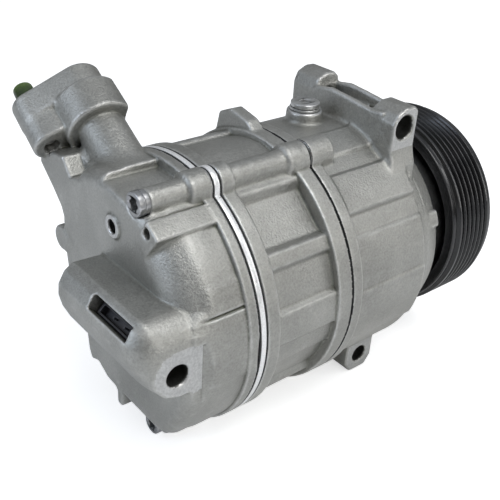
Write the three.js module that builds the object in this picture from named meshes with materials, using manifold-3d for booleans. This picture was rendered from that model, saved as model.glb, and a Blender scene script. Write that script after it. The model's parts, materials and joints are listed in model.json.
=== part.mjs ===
// Automotive air-conditioning compressor: belt driven, variable stroke, with an
// electromagnetic clutch. Millimetres, +Z up.
// +X runs along the shaft to the pulley at the front, so the head is at the rear (-X).
// Y runs along the mounting bolts: -Y is called the near side and +Y the far side.
// Stations along X are counted from the valve plate. The group `shift` then moves the
// origin to the machined face of the upper near mounting ear, below its hole.
import * as THREE from 'three';
import { mergeVertices } from 'three/addons/utils/BufferGeometryUtils.js';
import Module from 'manifold-3d';

const wasm = await Module();
wasm.setup();
const { Manifold, Mesh: ManifoldMesh } = wasm;

// ---------------------------------------------------------------- dimensions
const DEG = Math.PI / 180;
const ORIGIN = [102.6, -38, 59];    // point on the upper near ear's face
const ON_SHAFT = [0, 0];            // [y, z] of the shaft axis

// castings
const FLANGE_R = 64.3;              // joint flanges
const BODY_R = 62.6;                // castings between the flanges
const CRANKCASE_R = 55.6;           // inner wall of the crankcase
const BLOCK_REAR_X = 2.3;
const BLOCK_FRONT_X = 51.85;
const HOUSING_REAR_X = 52.15;
const HOUSING_FRONT_X = 123;
const HEAD_JOINT_X = -2.26;
const EAR_X = [94.6, 110.8];        // rear and front of the upper bracket
const UPPER_HOLE = [102.5, 68.3];   // [x, z] of the upper mounting holes
const LOWER_HOLE = [94.5, -59.9];   // [x, z] of the lower mounting holes
const FILLER = [80.5, 7.2];         // [x, y] of the oil filler

// through bolts; the upper near one has a longer sleeve in the head
const BOLT_CIRCLE_R = 63.5;
const BOLT_BOSS_R = 7.6;
const LONG_BOLT_ANGLE = -20;
const BOLTS = [LONG_BOLT_ANGLE, 60, 124, -164].map((angle) => {
  const isLong = angle === LONG_BOLT_ANGLE;
  return { angle, isLong, centre: polar(BOLT_CIRCLE_R, angle), seatX: isLong ? -30.2 : -20.2 };
});

// cylinders and swash plate
const PITCH_R = 38;                 // cylinder centres
const CYLINDER_COUNT = 5;
const FIRST_CYLINDER_ANGLE = 16;
const CYLINDER_ANGLES = Array.from({ length: CYLINDER_COUNT },
  (_, i) => FIRST_CYLINDER_ANGLE + i * 360 / CYLINDER_COUNT);
const BORE_R = 16.2;
const PISTON_R = 15.85;
const PIVOT_ANGLE = -20;            // direction of the tilt pivot
const PLATE_X = 68;                 // swash plate middle plane, least stroke
const PLATE_HALF = 5.5;             // half its thickness
const PLATE_R = 47.6;
const BALL_R = 9;                   // ball that the two shoes are cut from

// shaft and pulley
const SHAFT_R = 8;
const BELT_X = 152.8;               // belt middle plane
const GROOVE_PITCH = 3.56;
const GROOVE_COUNT = 6;
const PULLEY_R = 55.2;
const PULLEY_REAR_X = 137.2;
const PULLEY_FRONT_X = 168.6;

// tube across the rear head, as [x, z]
const MOUNT_BORE = [-40, 3];
const VALVE_AXIS = [-42, 9];
const SLOT_TILT = [0, 46];          // slot and connector lean back, see box()

// port tower on the rear head: pipe bore along one axis, stud parallel to it
const TOWER_AXIS = new THREE.Vector3(0.0565, 0.8805, 0.4706).normalize();
const TOWER_ROOT = new THREE.Vector3(-13.69, 27.26, 58.52);
const STUD_ROOT = new THREE.Vector3(-34.01, 33.27, 49.72);
const STUD_OFFSET = STUD_ROOT.clone().sub(TOWER_ROOT);
STUD_OFFSET.addScaledVector(TOWER_AXIS, -STUD_OFFSET.dot(TOWER_AXIS));
const STUD_GAP = STUD_OFFSET.length();

// ----------------------------------------------------------------- materials
const LOOKS = {
  cast: { color: 0xa9aaa6, roughness: 0.55, metalness: 0.75 },
  castDark: { color: 0x9b9c99, roughness: 0.6, metalness: 0.7 },
  steel: { color: 0xc9ccd0, roughness: 0.25, metalness: 1 },
  steelDark: { color: 0x6d7073, roughness: 0.4, metalness: 0.9 },
  black: { color: 0x0c0d0e, roughness: 0.22, metalness: 0.3 },
  gasket: { color: 0x1b1c1d, roughness: 0.8, metalness: 0 },
  rubber: { color: 0x151515, roughness: 0.85, metalness: 0 },
  plastic: { color: 0x1a1b1e, roughness: 0.5, metalness: 0 },
  green: { color: 0x5d7a2c, roughness: 0.45, metalness: 0.2 },
  alu: { color: 0xc4c6c8, roughness: 0.35, metalness: 0.9 },
  bronze: { color: 0xa07a45, roughness: 0.4, metalness: 0.8 },
};

// ------------------------------------------------------- solids and meshes
// Welds a closed three.js geometry into a Manifold solid with outward faces.
function solid(geometry) {
  const bare = new THREE.BufferGeometry();
  bare.setAttribute('position', geometry.attributes.position);
  bare.setIndex(geometry.index);
  const welded = mergeVertices(bare, 1e-4);
  const index = welded.index.array;
  const positions = welded.attributes.position.array;
  const vertex = (i) => new THREE.Vector3().fromArray(positions, 3 * i);

  const triangles = [];
  let volume = 0;
  for (let i = 0; i < index.length; i += 3) {
    const [a, b, c] = [index[i], index[i + 1], index[i + 2]];
    if (a === b || b === c || a === c) continue;
    triangles.push(a, b, c);
    volume += vertex(a).dot(vertex(b).cross(vertex(c)));
  }
  if (volume < 0) triangles.reverse();
  return new Manifold(new ManifoldMesh({
    numProp: 3,
    vertProperties: new Float32Array(positions),
    triVerts: new Uint32Array(triangles),
  }));
}

const add = (...solids) => solids.reduce((sum, next) => sum.add(next));
const cut = (body, ...tools) => tools.reduce((rest, tool) => rest.subtract(tool), body);

const root = new THREE.Group();
const shift = new THREE.Group();
shift.position.set(-ORIGIN[0], -ORIGIN[1], -ORIGIN[2]);
root.add(shift);

function part(name, body, look, parent = shift) {
  const data = body.getMesh();
  const shared = new THREE.BufferGeometry();
  shared.setAttribute('position', new THREE.BufferAttribute(data.vertProperties, 3));
  shared.setIndex(new THREE.BufferAttribute(data.triVerts, 1));
  const geometry = shared.toNonIndexed();   // flat shading
  geometry.computeVertexNormals();
  const mesh = new THREE.Mesh(geometry, new THREE.MeshStandardMaterial(LOOKS[look]));
  mesh.name = name;
  parent.add(mesh);
}

// ------------------------------------------------------------------ outlines
// [y, z] at a radius and an angle in degrees from +Z towards +Y
function polar(radius, angle) {
  return [radius * Math.sin(angle * DEG), radius * Math.cos(angle * DEG)];
}
// the same for rows of [radius, angle], all turned by one angle
function polarPoints(rows, turnedBy = 0) {
  return rows.map(([radius, angle]) => polar(radius, angle + turnedBy));
}
function circle([y, z], radius, count) {
  return Array.from({ length: count }, (_, i) => {
    const angle = (i / count) * 2 * Math.PI;
    return [y + radius * Math.cos(angle), z + radius * Math.sin(angle)];
  });
}
// Radius follows rows of [angle, radius] in rising order. Reversed to run
// anticlockwise, as extrusions with holes need.
function outlineByAngle(rows) {
  const closed = [...rows, [rows[0][0] + 360, rows[0][1]]];
  const points = [];
  for (let i = 0; i < rows.length; i++) {
    const [a0, r0] = closed[i];
    const [a1, r1] = closed[i + 1];
    const steps = Math.max(1, Math.round((a1 - a0) / 7.5));
    for (let k = 0; k < steps; k++) {
      const f = k / steps;
      points.push(polar(r0 + (r1 - r0) * f, a0 + (a1 - a0) * f));
    }
  }
  return points.reverse();
}
// joint outline: a disc with the bolt bosses standing out of it; anticlockwise
function flangeOutline(inset = 0) {
  const boss = BOLT_BOSS_R - inset;
  const between = (a, b) => ((a - b + 540) % 360 + 360) % 360 - 180;
  const angles = [];
  for (let a = 0; a < 360; a += 11.25) {
    if (BOLTS.every((bolt) => Math.abs(between(a, bolt.angle)) > 10)) angles.push(a);
  }
  for (const { angle } of BOLTS) {
    for (const step of [-8.6, -6.9, -4.6, 0, 4.6, 6.9, 8.6]) {
      const a = angle + step;
      angles.push(a < 0 ? a + 360 : a);
    }
  }
  angles.sort((p, q) => p - q);
  return angles.map((a) => {
    let radius = FLANGE_R - inset;
    for (const { angle } of BOLTS) {
      const off = between(a, angle);
      const aside = BOLT_CIRCLE_R * Math.sin(off * DEG);
      if (Math.abs(off) >= 12 || Math.abs(aside) >= boss) continue;
      const reach = BOLT_CIRCLE_R * Math.cos(off * DEG) + Math.sqrt(boss * boss - aside * aside);
      radius = Math.max(radius, reach);
    }
    return polar(radius, a);
  }).reverse();
}

// -------------------------------------------------------------- basic shapes
function extrude(outline, options, holes = []) {
  const vectors = (points) => points.map(([u, v]) => new THREE.Vector2(u, v));
  const shape = new THREE.Shape(vectors(outline));
  for (const hole of holes) shape.holes.push(new THREE.Path(vectors(hole)));
  return new THREE.ExtrudeGeometry(shape, { bevelEnabled: false, ...options });
}
// extrusion standing on a base point; its outline lies along uAxis and vAxis
function prism(outline, depth, [uAxis, vAxis, axis], base, holes) {
  const geometry = extrude(outline, { depth }, holes);
  geometry.applyMatrix4(new THREE.Matrix4().makeBasis(uAxis, vAxis, axis));
  return solid(geometry.translate(...base));
}
const X_AXIS = new THREE.Vector3(1, 0, 0);
const Y_AXIS = new THREE.Vector3(0, 1, 0);
const Z_AXIS = new THREE.Vector3(0, 0, 1);
// outline of [y, z] extruded along X
function slabX(outline, x0, x1, holes) {
  return prism(outline, x1 - x0, [Y_AXIS, Z_AXIS, X_AXIS], [x0, 0, 0], holes);
}
// outline of [x, z] extruded along Y
function slabY(outline, y0, y1) {
  const swapped = outline.map(([x, z]) => [z, x]);
  return prism(swapped, y1 - y0, [Z_AXIS, X_AXIS, Y_AXIS], [0, y0, 0]);
}
// cylinder between two points, or a cone if the end radius differs
function rod(from, to, radius, segments = 8, endRadius = radius) {
  const start = new THREE.Vector3(...from);
  const end = new THREE.Vector3(...to);
  const along = end.clone().sub(start);
  const geometry = new THREE.CylinderGeometry(endRadius, radius, along.length(), segments, 1);
  const turned = new THREE.Quaternion().setFromUnitVectors(Y_AXIS, along.normalize());
  geometry.applyQuaternion(turned);
  const middle = start.add(end).multiplyScalar(0.5);
  return solid(geometry.translate(middle.x, middle.y, middle.z));
}
const rodX = (x0, x1, [y, z], ...sizes) => rod([x0, y, z], [x1, y, z], ...sizes);
const rodY = (y0, y1, [x, z], ...sizes) => rod([x, y0, z], [x, y1, z], ...sizes);
const rodZ = (z0, z1, [x, y], ...sizes) => rod([x, y, z0], [x, y, z1], ...sizes);
// revolution about X of a profile of [x, radius]; closed unless it ends on the axis
function turn(profile, segments = 20) {
  const points = profile.map(([x, radius]) => new THREE.Vector2(radius, x));
  if (profile[0][1] > 0 || profile.at(-1)[1] > 0) points.push(points[0].clone());
  return solid(new THREE.LatheGeometry(points, segments).rotateZ(-Math.PI / 2));
}
function ring(x0, x1, inner, outer, segments) {
  return turn([[x0, inner], [x0, outer], [x1, outer], [x1, inner]], segments);
}
// box turned about X, then about Y, in degrees
function box(size, centre, [aboutX, aboutY] = [0, 0]) {
  const geometry = new THREE.BoxGeometry(...size);
  geometry.rotateX(aboutX * DEG).rotateY(aboutY * DEG);
  return solid(geometry.translate(...centre));
}
// point and rods on the port tower, at distances along its axis
function towerPoint(t, offset = new THREE.Vector3()) {
  return TOWER_ROOT.clone().addScaledVector(TOWER_AXIS, t).add(offset).toArray();
}
const towerRod = (t0, t1, ...sizes) => rod(towerPoint(t0), towerPoint(t1), ...sizes);
const studRod = (t0, t1, ...sizes) =>
  rod(towerPoint(t0, STUD_OFFSET), towerPoint(t1, STUD_OFFSET), ...sizes);

// ------------------------------------------------------------- front housing
// raised pads round the body, rows of [angle, radius]
const HOUSING_PADS = [
  [-179.9, 62.2], [-150, 62.2], [-112.6, 62.2], [-112, 63.4], [-84.6, 63.4], [-84, 62.6],
  [-60.8, 62.6], [-60.4, 61.7], [-51, 61.7], [-50.6, 63.6], [-33.4, 63.6], [-33, 62.2],
  [-24.6, 62.2], [-24, 63.2], [-10, 63.2], [-9.4, 62.2], [20, 62.2], [60, 62.6],
  [95, 62.6], [140, 62.2],
];
// crankcase wall from the bearing recess back, rows of [x, radius]
const CRANKCASE_WALL = [
  [113.5, 24], [110.6, 24], [110.6, 52.6], [106.5, 54.6], [102, CRANKCASE_R],
];

function housingBody() {
  const shell = turn([
    [HOUSING_REAR_X, FLANGE_R], [58.2, FLANGE_R], [58.9, BODY_R - 1.2], [104, BODY_R - 1.2],
    [108.5, 60.6], [109.6, 58.2], [111, 58.6], [117, 56.6], [121.5, 54.6],
    [HOUSING_FRONT_X, 53.2], [HOUSING_FRONT_X, 29], [124.6, 27], [126.5, 21.2],
    // nose, then back along its bore
    [141.2, 20.4], [141.2, 17.4], [165.6, 17.4], [166.4, 16.6], [166.4, 13.2],
    [138.6, 13.2], [138.6, 9.2], [129.2, 9.2], [129.2, 11.6], [113.5, 11.6],
    ...CRANKCASE_WALL, [HOUSING_REAR_X, CRANKCASE_R],
  ], 26);
  const pads = slabX(outlineByAngle(HOUSING_PADS), 58, 103.5, [circle(ON_SHAFT, 59.6, 36)]);
  const bosses = BOLTS.map(({ centre }) => rodX(HOUSING_REAR_X, 66.5, centre, BOLT_BOSS_R, 10));
  return add(shell, pads, ...bosses);
}

function housingEars() {
  const [rear, front] = EAR_X;
  const web = slabX([
    [-30, 45], [-30, 74.6], [-22.6, 73.7], [-5, 75.4], [5.3, 76.1], [16, 74.2], [18, 60], [18, 45],
  ], rear, front);
  const channel = box([10.2, 36, 20], [102.9, -3.6, 79.2]);
  const upperNear = slabY([
    [rear, 48], [rear, 71], [97.5, 75.4], [102.5, 77.6], [108.6, 77.6], [front, 75.4], [front, 48],
  ], -38, -21.5);
  const upperFar = slabY([
    [rear, 40], [rear, 72.5], [96.8, 77.4], [102.1, 79.7], [107.6, 79.6],
    [front, 76.6], [front, 40],
  ], 15, 32);
  const foot = slabX([
    [-41, 30], [-40.6, 50], [-38, 57.5], [-30, 66], [32, 60], [32, 30],
  ], rear, front);
  const lowerEar = [
    [84.8, -40], [84.8, -64], [88.8, -69.6], [100.2, -69.6], [104.2, -64], [104.2, -40],
  ];
  const fillerBoss = rodZ(57, 67.6, FILLER, 9.6, 12, 8.8);
  const rimEar = slabX(polarPoints([
    [50, -71.4], [57.2, -70.6], [57.8, -67], [57.2, -63.4], [50, -62.6],
  ]), 111.5, 121);
  const crankcase = turn([[113.5, 0], ...CRANKCASE_WALL, [50, CRANKCASE_R], [50, 0]], 26);
  return cut(
    add(
      cut(web, channel), upperNear, upperFar, foot,
      slabY(lowerEar, -38, -22), slabY(lowerEar, 20, 34), fillerBoss, rimEar,
    ),
    crankcase,
  );
}

part('front_housing', cut(
  add(housingBody(), housingEars()),
  rodY(-50, -10, UPPER_HOLE, 5.6, 10),
  rodY(10, 50, UPPER_HOLE, 4.6, 10),
  rodY(-50, -18, LOWER_HOLE, 4.6, 10),
  rodY(16, 50, LOWER_HOLE, 4.6, 10),
  // chamfers at the near mouths
  rodY(-38.8, -36.8, UPPER_HOLE, 7.4, 10, 5.4),
  rodY(-38.8, -37, LOWER_HOLE, 6, 10, 4.4),
  rodZ(54, 70, FILLER, 5.6),
  ...BOLTS.map(({ centre }) => rodX(40, 63.8, centre, 3.5)),
), 'cast');

// ------------------------------------------------------------ cylinder block
// outside between the flanges, rows of [angle, radius]
const BLOCK_WAIST = [
  [-176, 62.2], [-150, 62.2], [-128, 62], [-124, 59], [-105, 59.4], [-104, 61.2],
  [-93.4, 61.2], [-92.6, 62.9], [-79.2, 62.6], [-77.8, 60.2], [-61.6, 60.2], [-60.6, 62],
  [-54.6, 62.2], [-52.4, 58.8], [-47, 57.6], [-37, 57.6], [-31.5, 58.6], [-29.2, 62.4],
  [-18.6, 62.6], [-11, 61.4], [-4, 62], [20, 60.2], [40, 60.2], [64, 61.6],
  [100, 60.2], [112, 61.6], [136, 61.6], [165, 60.2],
];

function cylinderBlock() {
  const topRib = [[3, 55], [-3, 62.5], [6, 68], [20, 70.3], [31, 64.8], [33, 54]];
  const body = add(
    slabX(flangeOutline(), BLOCK_REAR_X, 9.2),
    slabX(flangeOutline(), 43.4, BLOCK_FRONT_X),
    slabX(outlineByAngle(BLOCK_WAIST), 8, 45),
    ...BOLTS.flatMap(({ centre }) => [
      rodX(8, 45, centre, 5.6),
      rodX(39.5, 46, centre, BOLT_BOSS_R),
    ]),
    slabX(topRib, 44, BLOCK_FRONT_X),
  );
  return cut(
    body,
    // shaft bore and its two counterbores
    rodX(0, 60, ON_SHAFT, 11.6, 12),
    rodX(-5, 7.5, ON_SHAFT, 17.5, 12),
    rodX(45, 60, ON_SHAFT, 18.4, 12),
    ...CYLINDER_ANGLES.map((angle) => rodX(-5, 60, polar(PITCH_R, angle), BORE_R, 16)),
    ...BOLTS.map(({ centre }) => rodX(-5, 60, centre, 3.5)),
  );
}
part('cylinder_block', cylinderBlock(), 'cast');

// ------------------------------------------------- valve plate and its seals
const boltHoles = BOLTS.map(({ centre }) => circle(centre, 3.7, 10));
const screwHole = circle(ON_SHAFT, 3.2, 12);
const portHoles = CYLINDER_ANGLES.flatMap((angle) => [
  circle(polar(46, angle), 4.2, 8),
  circle(polar(27.5, angle), 2.8, 6),
]);
part('valve_plate',
  slabX(flangeOutline(), -1.4, 1.1, [...boltHoles, ...portHoles, screwHole]), 'steel');

// slot that frees one suction tongue, rows of [radius, angle from the cylinder's]
const TONGUE_SLOT = [
  [30.5, -12], [30.5, 12], [50, 14], [52.2, 0], [50, -14],
  [49, -14], [50.6, 0], [49, 13], [31.8, 10.4], [31.8, -10.4],
];
const tongueSlots = CYLINDER_ANGLES.map((angle) => polarPoints(TONGUE_SLOT, angle));
part('suction_reed_plate',
  slabX(flangeOutline(0.5), 1.16, 1.5, [...boltHoles, ...tongueSlots, screwHole]), 'steel');

const gasket = (x0, x1) =>
  slabX(flangeOutline(0.7), x0, x1, [circle(ON_SHAFT, 55.6, 36), ...boltHoles]);
part('head_gasket', gasket(-2.2, -1.46), 'gasket');
part('block_gasket', gasket(1.56, 2.24), 'gasket');

// five-armed star, one arm to each cylinder
function reedStar(tipR, tipHalfAngle, x0, x1) {
  const arm = [
    [11, -26], [tipR - 1.6, -tipHalfAngle], [tipR, 0], [tipR - 1.6, tipHalfAngle], [11, 26],
  ];
  return slabX(CYLINDER_ANGLES.flatMap((angle) => polarPoints(arm, angle)), x0, x1, [screwHole]);
}
part('discharge_reed', reedStar(32, 6.4, -1.86, -1.46), 'steel');
part('reed_retainer', reedStar(31, 7, -4.4, -1.94), 'steelDark');
part('retainer_screw', add(
  turn([[-8.4, 0], [-8.4, 4.6], [-7.6, 5.4], [-4.5, 5.4], [-4.5, 0]], 8),
  turn([[-5, 0], [-5, 2.9], [7.2, 2.9], [7.2, 0]], 8),
), 'steel');

// ----------------------------------------------------------------- rear head
const REAR_BOSS = [-6.5, 43.4];     // [y, z] of the drilled boss on the rear face

// flange, low crown all round and a raised platform over most of the rear
function headCrown() {
  const low = turn([
    [-25.2, 0], [-25.2, 57.6], [-23.6, 60.6], [-21, 62.2], [-6, 62.2], [-6, 0],
  ], 26);
  const high = turn([
    [-35.4, 0], [-35.4, 52], [-33.8, 57.4], [-29, 61.4], [-26, 62.2], [-20, 62.2], [-20, 0],
  ], 26);
  const platform = slabX([
    [-70, -43.5], [-2.7, -43.4], [4.5, -42.9], [12.6, -38.5], [19, -40.9], [21.3, -36.3],
    [22.8, -25.6], [30, -12], [37, 5], [38.9, 25.8], [38.3, 30.2], [42, 46], [22, 80], [-70, 80],
  ], -36, -19);
  const wall = slabX([
    [30, 20], [38.3, 30.2], [47.2, 38.7], [58.5, 48], [57, 52], [46, 57], [36, 58.5], [20, 52],
  ], -35.4, -23.4);
  const notch = slabX([
    [34.8, 57.4], [29.3, 50.8], [22.4, 53.6], [20, 62], [22, 70], [34, 66],
  ], -38, -27);
  return cut(
    add(slabX(flangeOutline(), -7.2, HEAD_JOINT_X), low, high.intersect(platform), wall),
    notch,
  );
}

function headBosses() {
  const longBolt = BOLTS.find(({ isLong }) => isLong);
  const rib = (a0, a1, radius, rearX) => slabX(polarPoints([
    [50, a0], [radius, a0], [radius, (a0 + a1) / 2], [radius, a1], [50, a1],
  ]), rearX, -6);
  return add(
    ...BOLTS.map(({ seatX, centre, isLong }) => rodX(seatX, -5, centre, isLong ? 5.2 : 7.4)),
    rodX(-12.5, -5, longBolt.centre, BOLT_BOSS_R),
    // pad round the bottom bolt
    slabX(polarPoints([[48, -176], [65, -171], [66, -157], [60, -146], [48, -146]]), -19.4, -5),
    // axial ribs on the upper near side
    rib(-23.4, -17, 62.2, -27),
    rib(-37, -28.4, 63.9, -35.2),
    // bosses on the rear face
    rodX(-37, -30, REAR_BOSS, 5.4),
    rodX(-36, -24, [41.5, 15.5], 6.2),
    // near side of the head
    slabX(polarPoints([
      [48, -98], [62.2, -98], [62.4, -90], [62.4, -83], [62.2, -76], [62.2, -66.5], [48, -66.5],
    ]), -35.3, -6),
  );
}

// tube across the rear; outlines of [x, z] shrink towards the near end face
const TUBE_SECTION = [
  [-26, 25.4], [-49.9, 26.6], [-54, 24], [-57.1, 18.7], [-57.6, 13.4],
  [-56.1, 7.3], [-52.8, 0.4], [-47.4, -5.6], [-41, -8.8], [-26, -10],
];
const TUBE_BEND_1 = [
  [-26, 23.6], [-48.8, 23], [-52.8, 20.8], [-55.6, 16], [-56, 11],
  [-54.8, 5.6], [-51.6, -0.6], [-46.8, -5.5], [-40.8, -8.5], [-26, -9.5],
];
const TUBE_BEND_2 = [
  [-26, 19.4], [-47, 18.6], [-51, 16.2], [-53.4, 12], [-53.8, 7.6],
  [-52.8, 2.6], [-50, -2.6], [-46.2, -5.4], [-40, -8.1], [-26, -8.9],
];
const TUBE_FACE = [
  [-26, 13.2], [-44.4, 12.7], [-48.9, 10.1], [-50.8, 5.4],
  [-50.5, 0.9], [-45.7, -5.2], [-39.1, -7.6], [-26, -8],
];

function headTube() {
  const farEnd = TUBE_SECTION.map(([x, z]) => [-40 + (x + 40) * 0.93, 9 + (z - 9) * 0.93]);
  const nose = Manifold.hull([
    slabY(TUBE_SECTION, -48, -45),
    slabY(TUBE_BEND_1, -54.6, -54.4),
    slabY(TUBE_BEND_2, -58.4, -58.2),
    slabY(TUBE_FACE, -60, -59.6),
  ]);
  return add(slabY(TUBE_SECTION, -45, 2.4), slabY(farEnd, 2, 4.2), nose);
}

// port tower: neck, two lobes and the slab that carries the pipe face
function portTower() {
  const uAxis = STUD_OFFSET.clone().normalize();
  const vAxis = new THREE.Vector3().crossVectors(TOWER_AXIS, uAxis).normalize();
  const block = (outline, t0, t1) =>
    prism(outline, t1 - t0, [uAxis, vAxis, TOWER_AXIS], towerPoint(t0));
  // half circles round a start point and the stud, joined by straight sides
  const capsule = (startU, startR, studR) => {
    const arc = (u, radius, from) => Array.from({ length: 15 }, (_, i) => {
      const angle = (from + 180 * i / 14) * DEG;
      return [u + radius * Math.cos(angle), radius * Math.sin(angle)];
    });
    return [...arc(STUD_GAP, studR, -90), ...arc(startU, startR, 90)];
  };
  return add(
    towerRod(-17, 15, 11.4, 14, 11),
    towerRod(14.3, 32, 16.1, 16),
    block(capsule(0, 12, 8.9), 30, 44.4),
    block(capsule(STUD_GAP - 6, 8.6, 8.6), 17.5, 31),
    block([[0, -8.4], [STUD_GAP, -8.4], [STUD_GAP, -3], [0, -3]], 3, 20),
  );
}

// second pipe port, on the far side, as [x, z]
const FAR_PIPE = [-14, 3];
const FAR_SCREW = [-14, -13];

function farPad() {
  return add(
    rodY(40, 67, FAR_PIPE, 8.8, 12),
    rodY(40, 64, FAR_SCREW, 6),
    slabX([[44, -16], [62, -16], [66, 6], [44, 8]], -18.5, -9.5),
  );
}

function headHollows() {
  const discharge = turn([[-22, 0], [-22, 27], [-19, 33], [0, 34.6], [0, 0]], 16);
  const suction = turn([[-18, 41], [-18, 50], [0, 54.6], [0, 37.8]]);
  const pocket = polarPoints([[58.8, -16.2], [70, -16.2], [70, 4], [60.2, 2.6]]);
  return [
    // everything in front of the joint
    box([30, 200, 200], [15 + HEAD_JOINT_X, 0, 0]),
    discharge,
    // the suction chamber leaves a wall round the far pipe
    cut(suction, rodY(32, 60, FAR_PIPE, 8.2, 10)),
    // pipe bore down the neck, its mouth, and the stud's hole
    towerRod(-17, 50, 7.2, 10),
    towerRod(41.5, 50, 7.9, 10),
    studRod(11, 50, 3.5),
    // far pipe bore, into the discharge chamber, and the hole below it
    rodY(22, 90, FAR_PIPE, 5.4, 10),
    rodY(54, 90, FAR_SCREW, 3.1),
    // mounting hole with its chamfer
    rodY(-70, -49.5, MOUNT_BORE, 4.9, 10),
    rodY(-60.6, -59, MOUNT_BORE, 6.2, 10, 4.8),
    // valve bore, its ring groove, and the slot for the connector
    rodY(-45.5, 20, VALVE_AXIS, 8.4, 12),
    rodY(1.6, 3.4, VALVE_AXIS, 9.6, 12),
    box([20, 28, 6.6], [-52.5, -34.5, 19.9], SLOT_TILT),
    // holes from the rear, and the pocket at the top
    rodX(-40, -24, REAR_BOSS, 3.1),
    rodX(-40, -26, polar(59.6, -31), 2.5),
    slabX(pocket, -28.5, -13),
    // bolt holes and the room for the bolt heads
    ...BOLTS.flatMap(({ centre, seatX, isLong }) => [
      rodX(-40, 0, centre, 3.15),
      rodX(-45, seatX - 0.04, centre, isLong ? 5.7 : 6.3, 10),
    ]),
  ];
}

function rearHead() {
  // keeps the near end of the head down to the tube's mounting face
  const nearTrim = slabY([[-70, -12], [-70, 16], [-28.7, 13.6], [-28.7, -8.2]], -80, -60);
  const bottomRib = slabX([[-8.5, -52], [-4, -52], [-4, -38], [-8.5, -38]], -35.4, -22);
  const trimmed = cut(add(headCrown(), headBosses(), headTube()), nearTrim);
  return cut(add(trimmed, bottomRib, portTower(), farPad()), ...headHollows());
}
part('rear_head', rearHead(), 'cast');

// ------------------------------------------- control valve, in the head's tube
part('control_valve_body', cut(
  add(rodY(-45, -20, VALVE_AXIS, 7.9, 10), rodY(-20.4, 1.2, VALVE_AXIS, 8.1, 10)),
  rodY(-30, 6, VALVE_AXIS, 3.4),
  rodY(-8, 6, VALVE_AXIS, 5.2),
), 'plastic');
part('control_valve_plunger', add(
  rodY(-28.4, -6.2, VALVE_AXIS, 2.9),
  rodY(-7, -1.6, VALVE_AXIS, 4.5),
), 'steel');
// split at the bottom
part('control_valve_ring', cut(
  rodY(1.8, 3, VALVE_AXIS, 9.2, 12),
  rodY(0, 5, VALVE_AXIS, 7.4, 10),
  box([3, 4, 12], [VALVE_AXIS[0], 2.4, 1]),
), 'steelDark');
part('control_valve_connector', box([4.6, 25, 5.2], [-49.7, -34.5, 17], SLOT_TILT), 'plastic');

// --------------------------------------------------- port stud and its cap
part('port_stud', studRod(21, 50.6, 3), 'steel');
part('port_stud_cap', cut(
  add(studRod(44.8, 53.6, 4.9, 8, 4.6), studRod(44.8, 46.2, 5.3)),
  studRod(44, 51.4, 3.5),
), 'green');

// --------------------------------------------- through bolts and oil plug
// socket head at the rear, thread in the front housing
BOLTS.forEach(({ centre, seatX }, i) => {
  const headX = seatX - 0.1;        // underside of the head
  part(`through_bolt_${i + 1}`, cut(
    add(rodX(headX - 0.5, 62.6, centre, 2.85), rodX(headX - 4.9, headX, centre, 5.4, 12)),
    rodX(headX - 6, headX - 1.9, centre, 3.1, 6),
  ), 'steel');
});
part('oil_plug', cut(
  add(rodZ(58.6, 69.2, FILLER, 4.9), rodZ(69.1, 71.4, FILLER, 7.2, 10, 6.6)),
  rodZ(67.4, 75, FILLER, 3.5, 6),
), 'steel');
part('oil_plug_seal', cut(
  rodZ(67.8, 68.9, FILLER, 7.6, 10),
  rodZ(60, 72, FILLER, 5.6),
), 'alu');

// ---------------------------------------------------------- clutch, fixed side
part('clutch_coil', turn([
  [124, 30.5], [124, 45.5], [126.2, 45.5], [126.2, 44.2], [152, 44.2], [152, 41.6],
  [128, 41.6], [128, 34.6], [152, 34.6], [152, 32.2], [127, 32.2], [127, 30.5],
]), 'steelDark');
part('coil_winding', ring(128.4, 150.6, 35.5, 40.9, 16), 'bronze');

// lead from the coil along the far side to its connector, rows of [x, radius, angle]
const CONNECTOR_R = 73.4;
const CONNECTOR_ANGLE = 87;
const LEAD_STATIONS = [
  [125.4, 48.8, 84], [125.4, 54.5, 85], [121.2, 60.5, 87], [113, 64.2, 89],
  [104, 66.4, 91], [92, 66.9, 92], [80, 66.7, 92], [70, 66.8, 90.5],
  [63.4, 68.6, 88.5], [58.4, 72.4, 87.1], [54.5, CONNECTOR_R, CONNECTOR_ANGLE],
];
const leadPath = new THREE.CatmullRomCurve3(
  LEAD_STATIONS.map(([x, radius, angle]) => new THREE.Vector3(x, ...polar(radius, angle))));
part('coil_lead',
  solid(extrude(circle([0, 0], 1.8, 6), { steps: 18, extrudePath: leadPath })), 'rubber');
part('coil_connector',
  box([13, 8.6, 7.4], [47.6, ...polar(CONNECTOR_R, CONNECTOR_ANGLE)], [-CONNECTOR_ANGLE, 0]),
  'plastic');

// ------------------------------------------------------------ turning pulley
function pulley() {
  const groovesX0 = BELT_X - GROOVE_COUNT * GROOVE_PITCH / 2;
  const groovesX1 = groovesX0 + GROOVE_COUNT * GROOVE_PITCH;
  const grooves = Array.from({ length: GROOVE_COUNT }, (_, i) => {
    const x = groovesX0 + (i + 0.5) * GROOVE_PITCH;
    return [[x - 1.5, PULLEY_R], [x, PULLEY_R - 2.9], [x + 1.5, PULLEY_R]];
  }).flat();
  return turn([
    [PULLEY_REAR_X, 47.8], [PULLEY_REAR_X, 52.4], [PULLEY_REAR_X + 0.8, 53.4],
    [groovesX0 - 1.9, 53.4], [groovesX0 - 1.4, PULLEY_R],
    ...grooves,
    [groovesX1 + 1.4, PULLEY_R], [groovesX1 + 1.8, 53.8],
    [PULLEY_FRONT_X - 1, 53.8], [PULLEY_FRONT_X, 52.8], [PULLEY_FRONT_X, 51],
    // front web and bearing seat, then the annular room for the coil
    [164.6, 50.2], [164.6, 27.4], [164, 26.7], [142.2, 26.7], [142.2, 30.6],
    [155.4, 30.6], [156.2, 31.4], [156.2, 45], [155.4, 46.2], [150, 47.2],
  ], 26);
}
part('pulley', pulley(), 'black');
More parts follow.
